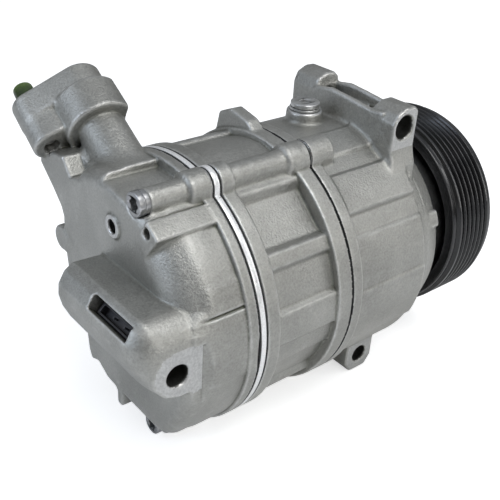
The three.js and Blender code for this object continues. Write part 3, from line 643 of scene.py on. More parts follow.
def crown_distance(x, y, z):
    """head body: low all round with a platform over most of the rear; wide -y shoulder"""
    angle = np.degrees(np.arctan2(y, z))
    side = np.sqrt(y * y + z * z) - 62.2
    shoulder = np.clip((angle + 70) / 5, 0, 1) * np.clip((-34 - angle) / 4, 0, 1)
    low = meet(side, np.maximum(-25.2 - x, x + 2.0), 4.5)
    high = meet(side, np.maximum(-35.4 - x, x + 2.0), 6.5 + 9.5 * shoulder)
    high = meet(high, outline_distance(PLATFORM, y, z), 0.8)
    return blend(low, high, 2.5)


def tube_distance(x, y, z):
    """tube across the rear, drawn in to the mounting face at its -y end"""
    part = np.clip((-47.0 - y) / 13.0, 0, 0.995)
    part = np.minimum((1 - np.sqrt(1 - part * part)) / 0.9, 1.0)
    side = outline_distance(TUBE, x, z) * (1 - part)
    side = side + outline_distance(MOUNT_FACE, x, z) * part
    return meet(side, np.maximum(-61.0 - y, y - 3.8), 1.3)


def rear_head():
    head = Field((-60, -64, -74), (0, 80, 90))
    add, cut = head.add, head.cut
    add((crown_distance, (-36, -63, -63), (-1, 63, 63)))
    add(slab('x', [(28, 16), (38.3, 30.2), (47.2, 38.7), (58.5, 48), (57, 52), (46, 57),
                   (36, 58.5), (20, 52)], -35.4, -23.4, 0.8), 1.5)
    # hollow at the top
    cut(sector(-15.5, 3.6, 59.2, 74, -37, -7.0, 1.2), 0.8)
    # bolt bosses and the long sleeve
    for place, seat in BOLTS:
        if seat == LONG_SEAT:
            add(bar('x', seat, 0, place, 5.3), 1.6)
            add(bar('x', -12.5, 0, place, 7.6, edge=1.5), 1.5)
        else:
            add(bar('x', seat, 0, place, 7.4, edge=0.6), 3)
    add(sector(184, 214, 46, 64.4, -19.4, -3, 1.5), 3)
    add(sector(-23.4, -17, 50, 62.2, -27, -3, 0.8), 1.0)
    # transverse tube with the mounting end
    add((tube_distance, (-58.5, -61.5, -11), (-25, 4.5, 28)), 1.2)
    # -y side of the head, in front of the mounting end
    add(sector(-98, -73, 48, 62.2, -33, -3, 1.2), 2.5)
    add(sector(-98, -68.5, 48, 62.3, -26.5, -3, 0.8), 1.2)
    add(sector(-70, -58, 48, 61.7, -23, -3, 2.0), 3.5)
    # bottom rib, boss on the rear face
    add(box((-28.7, -6.25, -45), (13.4, 4.5, 14), edge=1.0), 1.6)
    add(bar('x', -36, -24, (41.5, 15.5), 6.2, edge=1), 3)
    # port tower
    add(rod(tower_point(-17), tower_point(15), 11.6, 11), 4)
    add(stadium(0, STUD_DISTANCE, 8.9, 30, 44.4, 1.4, 12), 0.8)
    add(rod(tower_point(14.3), tower_point(32), 16.1, edge=1.2), 0.8)
    add(stadium(STUD_DISTANCE - 6, STUD_DISTANCE, 8.6, 17.5, 31, 1.0), 0.8)
    add(box(tower_point(9.5) + STUD_OFFSET / 2 - TOWER_SIDE * 7.6, (STUD_DISTANCE, 3.6, 13),
            [TOWER_ACROSS, TOWER_SIDE, TOWER_AXIS]), 2.0)
    # second pipe pad, on the +y side
    add(bar('y', 40, 67, FAR_PORT, 8.8, edge=1), 4)
    add(bar('y', 40, 64, FAR_SCREW, 6, edge=1), 3)
    add(slab('x', [(44, -16), (62, -16), (66, 6), (44, 8)], -18.5, -9.5, 1), 2.5)
    # recess under the tower
    cut(slab('x', [(34.8, 57.4), (29.3, 50.8), (22.4, 53.6), (20, 62), (22, 70), (34, 66)],
             -38, -27, 0.8), 0.8)
    head.soften()
    # axial block on the upper -y side
    add(sector(-37, -28.4, 50, 63.9, -35.3, -3, 0.7), 0.8)
    add(bar('x', -36.4, -30, SMALL_BOSS, 5.4, edge=0.5), 0.6)
    # parting lines on the -y side
    add(sector(-92.3, -91.2, 50, 62.8, -24.6, -2, 0.2), 0.3)
    cut(sector(-69.7, -68.7, 61.75, 70, -31, -7, 0.2), 0.3)
    # joint flange
    cut(whole_slice(0, 20))
    add(slab('x', flange_outline(), -7.2, HEAD_JOINT, 0.5), 0.3)
    cut(whole_slice(HEAD_JOINT, HEAD_JOINT + 20))
    # hollows: centre, outer ring kept clear of the far port, port and stud holes
    cut(turned([(-22, 0), (-22, 27), (-19, 33), (0, 34.6), (0, 0)]))
    cut(without(turned([(-18, 41), (-18, 50), (0, 54.6), (0, 37.8)]),
                bar('y', 32, 60, FAR_PORT, 8.2)))
    cut(rod(tower_point(-17), tower_point(50), 7.2))
    cut(rod(tower_point(41.5), tower_point(50), 7.9))
    cut(rod(tower_point(15.5, STUD_OFFSET), tower_point(50, STUD_OFFSET), 3.5))
    cut(rod(tower_point(16.5, STUD_OFFSET), tower_point(18.6, STUD_OFFSET), 4.2, 3.4))
    cut(bar('y', 22, 90, FAR_PORT, 5.4))
    cut(bar('y', 54, 90, FAR_SCREW, 3.1))
    # mounting face with the slope beside it
    cut(slab('y', [(-70, -17), (-70, 18), (-28.7, 13.8), (-28.7, -17)], -70, -60), 0.5)
    cosine, sine = 0.819, 0.574
    cut(box((-28.7 + 4 * cosine - 5 * sine, -60 - 4 * sine - 5 * cosine, -1.5), (8, 10, 31),
            [(cosine, -sine, 0), (-sine, -cosine, 0), (0, 0, 1)], 0.2), 0.4)
    # mounting hole, valve bore, window
    cut(bar('y', -70, -49.5, MOUNT_HOLE, 4.9))
    cut(bar('y', -60.8, -58.8, MOUNT_HOLE, 6.3, 4.7))
    cut(bar('y', -45.5, 20, VALVE, 8.4))
    cut(bar('y', 1.6, 3.4, VALVE, 9.6))
    cosine, sine = math.cos(VALVE_TILT * DEG), math.sin(VALVE_TILT * DEG)
    cut(box((-52.5, -34.5, 19.9), (20, 28, 6.6),
            [(cosine, 0, -sine), (0, 1, 0), (sine, 0, cosine)], 0.4))
    cut(bar('x', -40, -24, SMALL_BOSS, 3.1))
    cut(bar('x', -40, -26, polar(59.6, -31), 2.5))
    for place, seat in BOLTS:
        cut(bar('x', -40, 0, place, 3.2))
        cut(bar('x', -45, seat - 0.04, place, 5.7 if seat == LONG_SEAT else 6.3))
    return head.mesh()


# ------------------------------------------------------------------ cylinder block
# (angle, radius)
BLOCK_CONTOUR = [
    (-4, 62), (-11, 61.4), (-18.6, 62.6), (-29.2, 62.4), (-31.5, 58.6), (-37, 57.6),
    (-47, 57.6), (-52.4, 58.8), (-54.6, 62.2), (-60.6, 62.0), (-61.6, 60.2), (-77.8, 60.2),
    (-79.2, 62.6), (-92.6, 62.9), (-93.4, 61.2), (-104, 61.2), (-105, 59.4), (-124, 59.0),
    (-128, 62), (-150, 62.2), (-176, 62.2), (20, 60.2), (40, 60.2), (64, 61.6), (100, 60.2),
    (112, 61.6), (136, 61.6), (165, 60.2)]


def cylinder_block():
    block = Field((0, -74, -74), (54, 74, 78))
    add, cut = block.add, block.cut
    add(contour(BLOCK_CONTOUR, 4, 48, inner=0))
    add(sector(17, 34, 50, 62.8, 4, 48, 1.0), 2.5)
    for place, _ in BOLTS:
        add(bar('x', 4, 48, place, 5.6), 2)
        add(bar('x', 39.5, 48, place, 7.6, edge=1.5), 1.5)
    # lug on top of the front flange
    add(slab('x', [(3, 55), (0, 62.5), (8, 68), (20, 70.3), (29, 66.2), (32, 54)],
             44.5, 51.85, 0.6), 0.5)
    block.soften()
    # flanges
    add(slab('x', flange_outline(), 2.3, 9.2, 0.5), 0.8)
    add(slab('x', flange_outline(), 43.4, 51.85, 0.5), 0.8)
    # shaft hole with its wider ends, cylinder bores, bolt holes
    cut(bar('x', 0, 60, (0, 0), 11.6))
    cut(bar('x', -5, 7.5, (0, 0), 17.5))
    cut(bar('x', 45, 60, (0, 0), 18.4))
    for angle in CYLINDER_ANGLES:
        cut(bar('x', -5, 60, polar(CYLINDER_CIRCLE, angle), BORE_RADIUS + 0.05))
    for place, _ in BOLTS:
        cut(bar('x', -5, 60, place, 3.5))
    return block.mesh()


# ------------------------------------------------------------------ front housing
HOUSING_SPAN = (51, -68, -74), (168, 68, 87)
# (angle, radius)
HOUSING_CONTOUR = [
    (-33.4, 63.6), (-50.6, 63.6), (-51.0, 61.7), (-60.4, 61.7), (-60.8, 62.6), (-84.0, 62.6),
    (-84.6, 63.4), (-112, 63.4), (-112.6, 62.2), (-150, 62.2), (-179.9, 62.2), (-24.6, 62.2),
    (-24.0, 63.2), (-10, 63.2), (-9.4, 62.2), (-33.0, 62.2), (20, 62.2), (60, 62.6),
    (95, 62.6), (140, 62.2)]


def bracket():
    """upper bracket, one web with a channel along its top and an ear at each end,
    and the two lower ears"""
    field = Field(*HOUSING_SPAN)
    add, rear, front = field.add, 94.6, 110.8
    add(slab('x', [(-41, 30), (-40.6, 50), (-38, 57.5), (-30, 66), (32, 60), (32, 30)],
             rear, front, 0.8))
    add(slab('x', [(-30, 45), (-30, 74.6), (-22.6, 73.7), (-5, 75.4), (5.3, 76.1), (16, 74.2),
                   (18, 60), (18, 45)], rear, front, 0.8))
    field.cut(box((102.9, -3.6, 79.2), (10.2, 36, 20), edge=1.0), 1.0)
    add(slab('y', [(rear, 48), (rear, 71), (97.5, 75.4), (102.5, 77.6), (108.6, 77.6),
                   (front, 75.4), (front, 48)], -38, -21.5, 0.6), 0.6)
    add(slab('y', [(rear, 40), (rear, 72.5), (96.8, 77.4), (102.1, 79.7), (107.6, 79.6),
                   (front, 76.6), (front, 40)], 15, 32, 1), 0.8)
    lower_ear = [(84.8, -40), (84.8, -64), (88.8, -69.6), (100.2, -69.6), (104.2, -64),
                 (104.2, -40)]
    add(slab('y', lower_ear, -38, -22, 0.7))
    add(slab('y', lower_ear, 20, 34, 0.7))
    return field.values


def front_housing():
    housing = Field(*HOUSING_SPAN)
    add, cut = housing.add, housing.cut
    add(turned([(50, 0), (50, 61.4), (104, 61.4), (108.5, 60.6), (109.6, 58.2), (111, 58.6),
                (117, 56.6), (121.5, 54.6), (123, 53.2), (123, 0)]))
    add(contour(HOUSING_CONTOUR, 56, 103.5, 0.6))
    for place, _ in BOLTS:
        add(bar('x', 50, 66.5, place, 7.6, edge=0.8), 2)
    housing.values = blend(housing.values, bracket(), 2.6)
    add(bar('z', 56, 67.6, OIL_PLUG, 9.6, 8.8, 0.5), 2)
    add(sector(-71.4, -62.6, 48, 57.8, 111.5, 121, 1.2), 1)
    housing.soften()
    # joint flange
    behind_joint = whole_slice(HOUSING_JOINT - 22, HOUSING_JOINT)
    cut(behind_joint)
    rim = [polar(FLANGE_RADIUS, angle) for angle in range(360)]
    add(slab('x', rim, HOUSING_JOINT, 58.4, 0.5), 0.8)
    cut(behind_joint)
    # hollow crankcase
    cut(turned([(40, 0), (40, 55.6), (102, 55.6), (106.5, 54.6), (110.6, 52.6), (110.6, 24),
                (113.5, 24), (113.5, 11.6), (118, 11.6), (118, 0)]))
    # nose and its bore
    add(turned([(119, 0), (119, 29.5), (123, 29), (124.6, 27), (126.5, 21.2), (141.2, 20.4),
                (141.2, 17.4), (165.6, 17.4), (166.4, 16.6), (166.4, 0)]), 0.5)
    cut(turned([(110, 0), (110, 11.6), (129.2, 11.6), (129.2, 9.2), (138.6, 9.2),
                (138.6, 13.2), (170, 13.2), (170, 0)]))
    # ear bores and their countersinks: place, start y, end y, start radius, end radius
    for place, *sizes in [
            (UPPER_EAR, -50, -10, 5.6), (UPPER_EAR, 10, 50, 4.6),
            (LOWER_EAR, -50, -18, 4.6), (LOWER_EAR, 16, 50, 4.6),
            (UPPER_EAR, -38.8, -36.8, 7.4, 5.4), (LOWER_EAR, -38.8, -37, 6, 4.4)]:
        start, end, *radii = sizes
        cut(bar('y', start, end, place, *radii))
    cut(bar('z', 54, 70, OIL_PLUG, 5.6))
    for place, _ in BOLTS:
        cut(bar('x', 40, 63.8, place, 3.5))
    return housing.mesh()


# ------------------------------------------------------------------ finishes
def add_node(tree, kind, inputs, **settings):
    """shader node; an input value that is a socket is linked"""
    node = tree.nodes.new('ShaderNode' + kind)
    for key, value in settings.items():
        setattr(node, key, value)
    for key, value in inputs.items():
        if isinstance(value, bpy.types.NodeSocket):
            tree.links.new(value, node.inputs[key])
        else:
            node.inputs[key].default_value = value
    return node


def map_range(tree, value, low, high, to_low=0.0, to_high=1.0):
    return add_node(tree, 'MapRange', {'Value': value, 'From Min': low, 'From Max': high,
                                       'To Min': to_low, 'To Max': to_high}).outputs['Result']


def mix_colour(tree, factor, first, second):
    inputs = {'Factor': factor, 'A': first, 'B': second}
    return add_node(tree, 'Mix', inputs, data_type='RGBA').outputs['Result']


def finish(name, tone, other_tone, metal, rough, grain, bump, blotch, edge=None, hollow_shade=None,
           turned_marks=False, coat=0.0, edge_rough=0.25):
    """blotched, grained surface; edge is the colour of edge wear, also painted as a highlight
    along the edges; grime is the colour of the painted shade in hollows
    """
    material = bpy.data.materials.new(name)
    material.use_nodes = True
    tree = material.node_tree
    shader = tree.nodes['Principled BSDF']
    shader.inputs['Metallic'].default_value = metal
    if coat:
        shader.inputs['Coat Weight'].default_value = coat
        shader.inputs['Coat Roughness'].default_value = 0.12
    place = add_node(tree, 'TexCoord', {}).outputs['Object']
    grain_place = add_node(tree, 'Mapping', {'Vector': place}).outputs['Vector']
    blotches = add_node(tree, 'TexNoise', {'Vector': place, 'Scale': blotch, 'Detail': 5})
    height = add_node(tree, 'TexNoise', {'Vector': grain_place, 'Scale': grain, 'Detail': 3,
                                         'Roughness': 0.6}).outputs['Fac']
    share = map_range(tree, blotches.outputs['Fac'], 0.32, 0.68)
    colour = mix_colour(tree, share, (*tone, 1), (*other_tone, 1))
    # fine grain also shifts the tone a little
    shift = map_range(tree, height, 0.3, 0.7, 0.83, 1.17)
    colour = add_node(tree, 'VectorMath', {0: colour, 'Scale': shift},
                      operation='SCALE').outputs['Vector']
    roughness = map_range(tree, height, 0.3, 0.7, *rough)
    if hollow_shade or edge:
        pointiness = add_node(tree, 'NewGeometry', {}).outputs['Pointiness']
    # painted shade: concave places (low pointiness) are darkened towards the shade colour, as
    # shade falls there
    if hollow_shade:
        share = map_range(tree, pointiness, 0.495, 0.44, to_high=0.85)
        colour = mix_colour(tree, share, colour, (*hollow_shade, 1))
    # edge wear and a painted highlight: convex edges (high pointiness) are brightened towards the
    # edge colour and made smoother
    if edge:
        wear = add_node(tree, 'TexNoise', {'Vector': place, 'Scale': 260}).outputs['Fac']
        wear_and_highlight = add_node(tree, 'Math', {0: wear, 1: 0.05, 2: pointiness},
                        operation='MULTIPLY_ADD').outputs['Value']
        share = map_range(tree, wear_and_highlight, 0.53, 0.62, to_high=0.9)
        colour = mix_colour(tree, share, colour, (*edge, 1))
        roughness = add_node(tree, 'Mix', {'Factor': share, 'A': roughness,
                                           'B': edge_rough}).outputs['Result']
    tree.links.new(colour, shader.inputs['Base Color'])
    tree.links.new(roughness, shader.inputs['Roughness'])
    if turned_marks:        # fine rings left by the lathe
        split = add_node(tree, 'SeparateXYZ', {0: place})
        rings = add_node(tree, 'TexNoise', {'W': split.outputs['X'], 'Scale': 3000},
                         noise_dimensions='1D')
        height = add_node(tree, 'Math', {0: rings.outputs['Fac'], 1: height},
                          operation='ADD').outputs['Value']
    relief = add_node(tree, 'Bump', {'Strength': bump, 'Distance': 0.00025, 'Height': height})
    tree.links.new(relief.outputs['Normal'], shader.inputs['Normal'])
    return material


# tone, other tone, metallic, roughness range, grain scale, bump strength, blotch scale, extras
# In the extras, the edge colour brightens edges as wear and as a painted highlight, and the dark
# hollow colour is painted shade.
FINISHES = {
    'cast_alloy': ((0.335, 0.333, 0.312), (0.44, 0.437, 0.412), 0.88, (0.34, 0.52), 1050, 1.0,
                   38, dict(edge=(0.80, 0.80, 0.78), hollow_shade=(0.06, 0.064, 0.04),
                            edge_rough=0.30)),
    'machined_alloy': ((0.46, 0.462, 0.455), (0.54, 0.54, 0.53), 0.95, (0.32, 0.42), 900, 0.04,
                       60, dict(edge=(0.8, 0.8, 0.79), turned_marks=True)),
    'steel': ((0.27, 0.275, 0.28), (0.36, 0.36, 0.36), 1.0, (0.32, 0.46), 1200, 0.1, 60,
              dict(edge=(0.60, 0.60, 0.61), turned_marks=True)),
    'bright_steel': ((0.88, 0.88, 0.88), (0.96, 0.96, 0.96), 0.55, (0.30, 0.40), 1400, 0.05,
                     70, dict(edge=(0.95, 0.95, 0.95))),
    'spring_steel': ((0.30, 0.32, 0.36), (0.42, 0.42, 0.44), 1.0, (0.26, 0.38), 1300, 0.06,
                     90, dict(edge=(0.7, 0.7, 0.72))),
    'black_paint': ((0.004, 0.004, 0.0045), (0.009, 0.009, 0.0095), 0.0, (0.16, 0.28), 900,
                    0.06, 50, dict(edge=(0.05, 0.05, 0.053), coat=0.25)),
    'gasket': ((0.010, 0.010, 0.010), (0.024, 0.024, 0.024), 0.0, (0.6, 0.8), 1600, 0.3, 80,
               {}),
    'rubber': ((0.012, 0.012, 0.013), (0.025, 0.025, 0.025), 0.0, (0.45, 0.65), 1500, 0.3, 60,
               {}),
    'plastic': ((0.012, 0.012, 0.014), (0.024, 0.024, 0.027), 0.0, (0.35, 0.5), 1600, 0.25,
                70, dict(edge=(0.09, 0.09, 0.10))),
    'green_plastic': ((0.010, 0.020, 0.004), (0.050, 0.090, 0.014), 0.0, (0.26, 0.40), 1500,
                      0.2, 90, dict(edge=(0.26, 0.36, 0.12))),
    # painted shade: a dark tone for the insides of bores and holes, standing in for the shade
    # that falls in them
    'hole_shade': ((0.07, 0.07, 0.062), (0.15, 0.15, 0.14), 0.9, (0.34, 0.5), 1500, 0.15, 150,
                dict(edge=(0.5, 0.5, 0.48))),
    'copper': ((0.62, 0.26, 0.12), (0.76, 0.36, 0.18), 1.0, (0.28, 0.42), 1500, 0.1, 90, {}),
    'bronze': ((0.52, 0.33, 0.12), (0.64, 0.44, 0.18), 1.0, (0.28, 0.42), 1400, 0.1, 90,
               dict(edge=(0.8, 0.65, 0.35))),
}
MATERIALS = {name: finish(name, *row, **extras) for name, (*row, extras) in FINISHES.items()}
RECORD = frame['record']
SLOTS = {part['node']: part['material_slot'] for part in RECORD['subparts']}
BODIES = {node: body for body, nodes in RECORD['behaviour']['bodies'].items()
          for node in nodes}


def piece(node, geometry, sharp=32):
    slot = SLOTS[node]
    make('fine_' + node, geometry, node, BODIES[node], [MATERIALS[slot]], sharp=sharp)


# ------------------------------------------------------------------ castings
# the last casting finish paints shade inside bores
CAST_FINISHES = ['cast_alloy', 'machined_alloy', 'gasket', 'hole_shade']
MACHINED, OILED, HOLE_SHADE = 1, 2, 3          # places in CAST_FINISHES


def near(first, second, place, radius):
    return np.hypot(first - place[0], second - place[1]) < radius


def oil_joint(slots, centres, normals, joint):
    """faces in the joint between block and housing are darkened by old oil"""
    away = np.hypot(centres[:, 1], centres[:, 2])
    slots[(np.abs(centres[:, 0] - joint) < 0.62) & (away > 58)
          & ((away < 64.7) | (np.abs(normals[:, 0]) < 0.8))] = OILED


def head_slots(centres, normals):
    x, y, z = centres.T
    machined = (normals @ TOWER_AXIS > 0.96) & ((centres - PORT_BASE) @ TOWER_AXIS > 43.6)
    machined |= ((normals[:, 1] < -0.97) & (np.abs(y + 60) < 0.3) & (x < -28.6)
                 & (z > -8.6 + (x + 28.7) * 0.087))
    machined |= (normals[:, 0] < -0.95) & (x < -35.95) & near(y, z, SMALL_BOSS, 5.6)
    machined |= (x > -2.9) | near(y, z, SMALL_BOSS, 3.3)
    machined |= near(x, z, MOUNT_HOLE, 6.4) & (y < -50)
    for place, _ in BOLTS:
        machined |= near(y, z, place, 5.9) & (normals[:, 0] < -0.9) & (x < -19)
    slots = machined * MACHINED
    # painted shade inside the mounting hole and the small boss's bore
    slots[near(x, z, MOUNT_HOLE, 5.2) & (y < -48) & (y > -59.4)] = HOLE_SHADE
    slots[near(y, z, SMALL_BOSS, 3.4) & (x < -23) & (x > -35.6)] = HOLE_SHADE
    return slots


def block_slots(centres, normals):
    x, y, z = centres.T
    machined = (np.abs(normals[:, 0]) > 0.9) & ((x < 2.9) | (x > 51.3))
    for angle in CYLINDER_ANGLES:
        machined |= near(y, z, polar(CYLINDER_CIRCLE, angle), BORE_RADIUS + 0.4)
    slots = machined * MACHINED
    oil_joint(slots, centres, normals, 51.75)
    return slots


def housing_slots(centres, normals):
    x, y, z = centres.T
    machined = ((normals[:, 1] < -0.95) & (np.abs(y + 38) < 0.7)
                & ((z > 58.2) | (z < -52)))
    in_ears = (y < -21) | (y > 15)
    upper, lower = near(x, z, UPPER_EAR, 5.9) & in_ears, near(x, z, LOWER_EAR, 4.9) & in_ears
    machined |= (upper & (y > -38.5)) | (lower & (np.abs(y) < 39))
    machined |= (np.hypot(y, z) < 30) & (x > 123.4)
    machined |= (np.abs(normals[:, 0]) > 0.9) & (x < 52.8)
    machined |= near(x, y, OIL_PLUG, 9) & (z > 67)
    slots = machined * MACHINED
    oil_joint(slots, centres, normals, 51.95)
    # painted shade inside the ear bores
    slots[(upper & (y > -37.2)) | (lower & (y > -37.4) & (y < 37))] = HOLE_SHADE
    return slots


for build, pick in ((rear_head, head_slots), (cylinder_block, block_slots),
                    (front_housing, housing_slots)):
    make('casting_' + build.__name__, build(), build.__name__, 'frame',
         [MATERIALS[name] for name in CAST_FINISHES], pick)

# ------------------------------------------------------------------ plates and seals
# outline of the slot round a reed: (radius, angle from the cylinder)
REED_SLOT = [(30.5, -12), (30.5, 0), (30.5, 12), (50, 14), (51.6, 7), (52.2, 0), (51.6, -7),
             (50, -14), (49, -14), (50.1, -7), (50.6, 0), (50.1, 7), (49, 13), (31.8, 10.4),
             (31.8, -10.4)]
bolt_holes = [circle(*place, 3.7, 28) for place, _ in BOLTS]
middle_hole = circle(0, 0, 3.2, 24)
ports, reeds = [], []
for angle in CYLINDER_ANGLES:
    ports += [circle(*polar(46, angle), 4.2, 24), circle(*polar(27.5, angle), 2.8, 20)]
    reeds.append([polar(radius, angle + turn) for radius, turn in REED_SLOT])
piece('valve_plate', plate(flange_outline(), bolt_holes + ports + [middle_hole],
                           -1.4, 1.1, edge=0.12))
piece('suction_reed_plate', plate(flange_outline(FLANGE_RADIUS - 0.5, 7.1),
                                  bolt_holes + reeds + [middle_hole], 1.16, 1.5))
opening = [polar(55.6, i * 3) for i in range(120)]
for name, start, end in (('head_gasket', -2.2, -1.46), ('block_gasket', 1.56, 2.24)):
    piece(name, plate(flange_outline(FLANGE_RADIUS - 0.2, 7.3), [opening] + bolt_holes,
                      start, end, edge=0.06))

# ------------------------------------------------------------------ through bolts
for i, (place, boss_face) in enumerate(BOLTS):
    seat = boss_face - 0.1
    head = plate(circle(*place, 5.3, 64), [star(*place, 2.5, 3.2)], seat - 4.9, seat - 1.9,
                 edge=0.5, steps=3)
    placing = dict(origin=(0, *place))
    base = lathe([(seat - 2.0, 0), (seat - 2.0, 5.3), (seat, 5.3), (seat, 0)], 0.15, 64,
                 **placing)
    shank = [(seat - 0.4, 0), (seat - 0.4, 2.85), (44.0, 2.85),
             *thread(44.3, 61.6, (2.5,), (2.85,)), (62.4, 2.3), (62.4, 0)]
    piece(f'through_bolt_{i + 1}', join(head, base, lathe(shank, seg=40, **placing)), sharp=28)

# ------------------------------------------------------------------ oil plug and its seal
plug_axis = dict(origin=(*OIL_PLUG, 0), axis=(0, 0, 1))
plug_head = plate(circle(*OIL_PLUG, 7.1, 72), [circle(*OIL_PLUG, 3.4, 6)], 69.1, 71.4,
                  edge=0.5, steps=3, across=(1, 0, 0), up=(0, 1, 0), normal=(0, 0, 1))
plug_thread = [(58.9 + k * 0.5, 4.9 if k % 2 else 4.45) for k in range(17)]
piece('oil_plug', join(plug_head, lathe(
    [(58.7, 0), (58.7, 4.4), *plug_thread, (67.6, 4.9), (67.6, 4.6), (69.2, 4.6), (69.2, 0)],
    seg=56, **plug_axis)), sharp=28)
piece('oil_plug_seal', ring(67.8, 68.9, 5.7, 7.5, 0.25, 72, **plug_axis))

# ------------------------------------------------------------------ clutch coil and pulley
piece('clutch_coil', lathe(
    [(124.0, 30.6), (124.0, 45.5), (126.2, 45.5), (126.2, 44.2), (152, 44.2), (152, 41.6),
     (128, 41.6), (128, 34.6), (152, 34.6), (152, 32.2), (127, 32.2), (127, 30.6)], 0.4, 180))
wires = [(128.9 + 0.36 * k, 40.9 if k % 2 else 40.66) for k in range(60)]
piece('coil_winding', lathe([(128.5, 35.6), (128.5, 40.4), *wires, (150.6, 40.4),
                             (150.6, 35.6)], seg=120), sharp=50)

BELT_X, GROOVE_PITCH, GROOVES = 152.8, 3.56, 6
PULLEY_RADIUS, PULLEY_REAR, PULLEY_FRONT = 55.2, 137.2, 168.6
belt_rear = BELT_X - GROOVES * GROOVE_PITCH / 2
belt_front = belt_rear + GROOVES * GROOVE_PITCH
belt_face = [(belt_rear - 1.9, 53.4, 0.3), (belt_rear - 1.1, PULLEY_RADIUS, 0.45)]
for k in range(GROOVES):
    middle = belt_rear + (k + 0.5) * GROOVE_PITCH
    belt_face += [(middle - 1.42, PULLEY_RADIUS, 0.28),
                  (middle - 0.28, PULLEY_RADIUS - 2.85, 0.22),
                  (middle + 0.28, PULLEY_RADIUS - 2.85, 0.22),
                  (middle + 1.42, PULLEY_RADIUS, 0.28)]
belt_face += [(belt_front + 1.1, PULLEY_RADIUS, 0.45), (belt_front + 1.9, 53.8, 0.3)]
piece('pulley', lathe(
    [(PULLEY_REAR, 47.9, 0.5), (PULLEY_REAR, 53.4, 0.9), *belt_face,
     (PULLEY_FRONT, 53.8, 1.0), (PULLEY_FRONT, 51.2, 0.5), (164.6, 50.2, 0.8),
     (164.6, 27.4, 0.5), (164, 26.75, 0.3), (142.2, 26.75, 0.3), (142.2, 30.6, 0.6),
     (155.4, 30.6, 0.8), (156.2, 31.4, 0.4), (156.2, 45, 0.8), (155.4, 46.2, 0.6),
     (150, 47.2, 0.8)], 0.3, 240), sharp=40)
piece('pulley_bearing_outer', ring(142.4, 161.4, 23.5, 26.1, 0.4))
piece('pulley_bearing_inner', ring(142.4, 161.4, 17.85, 20.5, 0.4))
piece('pulley_bearing_ring', ring(161.8, 163.2, 17.95, 20.4, 0.2))

# ------------------------------------------------------------------ armature, hub, springs, nut
# hub arm: (radius, angle from the arm)
HUB_ARM = [(18, -50), (26, -24), (33, -11), (35, 0), (33, 11), (26, 24), (18, 50)]
windows, arms = [], []
for first in (0, 120, 240):
    angles = [first + 12 + k * 4 for k in range(25)]
    windows.append([polar(36.4, angle) for angle in angles]
                   + [polar(39.2, angle) for angle in reversed(angles)])
    arms += [polar(radius, first + turn) for radius, turn in HUB_ARM]
piece('armature_plate', plate([polar(48.4, i * 2.5) for i in range(144)],
                              [circle(0, 0, 22.4, 72)] + windows, 165.2, 169.2, edge=0.35))
sleeve = lathe([(152.5, 5.65), (152.5, 11.4), (166.8, 11.4), (166.8, 14.6), (173.6, 14.6),
                (173.6, 7.6), (170, 7.6), (170, 5.65)], 0.4, 96)
piece('clutch_hub', join(sleeve, plate(fillet(arms, 3.0, steps=4), [circle(0, 0, 12.2, 60)],
                                       170.9, 172.9, edge=0.3)))
leaf = fillet([(21, -4), (40, -4), (43, 0), (40, 4), (21, 4)], 1.0, steps=4)
for i in range(3):
    turn = (-90 + i * 120 + 60) * DEG
    cosine, sine = math.cos(turn), math.sin(turn)
    piece(f'hub_spring_{i + 1}', plate(
        leaf, [circle(25.5, 0, 1.5, 24), circle(38.5, 0, 1.5, 24)], 169.72, 170.58, edge=0.08,
        across=(0, cosine, sine), up=(0, -sine, cosine)))
piece('hub_nut', plate(fillet(circle(0, 0, 7, 6), 0.3, steps=2), [circle(0, 0, 4.15, 40)],
                       173.8, 179, edge=0.35))

# ------------------------------------------------------------------ shaft, seal and bearings
piece('drive_shaft', lathe(
    [(11, 0), (11, 6.6, 0.8), (44.4, 6.6, 0.2), (44.4, 8, 0.3), (104, 8, 0.2), (104, 8.6, 0.3),
     (137, 8.6, 0.3), (137.6, 7.2, 0.3), (151.8, 7.2, 0.3), (152.2, 5.2, 0.2),
     (172.4, 5.2, 0.3), *thread(172.8, 180.6, (3.5, 0.05), (3.9, 0.08)),
     (182, 3.1, 0.4), (182, 0)], 0.2, 80))
piece('shaft_seal', lathe([(139.2, 7.5), (139.2, 12.8), (148.6, 12.8), (148.6, 11.4),
                           (141, 11.4), (141, 9.4), (147.4, 8.6), (147.4, 7.5)], 0.3, 96))
piece('front_bearing', ring(114.6, 128.6, 8.9, 11.3, 0.3, 96))
piece('rear_bearing', ring(16, 30, 6.9, 10.9, 0.3, 96))
piece('thrust_bearing', ring(110.8, 113.1, 12.2, 23.4, 0.3, 96))
piece('pivot_sleeve', ring(59.6, 76.4, 8.35, 10.2, 0.3, 80))
piece('retainer_screw', lathe([(-8.4, 0), (-8.4, 5.4, 1.0), (-4.5, 5.4), (-4.5, 2.9),
                               (7.2, 2.9, 0.3), (7.2, 0)], 0.2, 64))

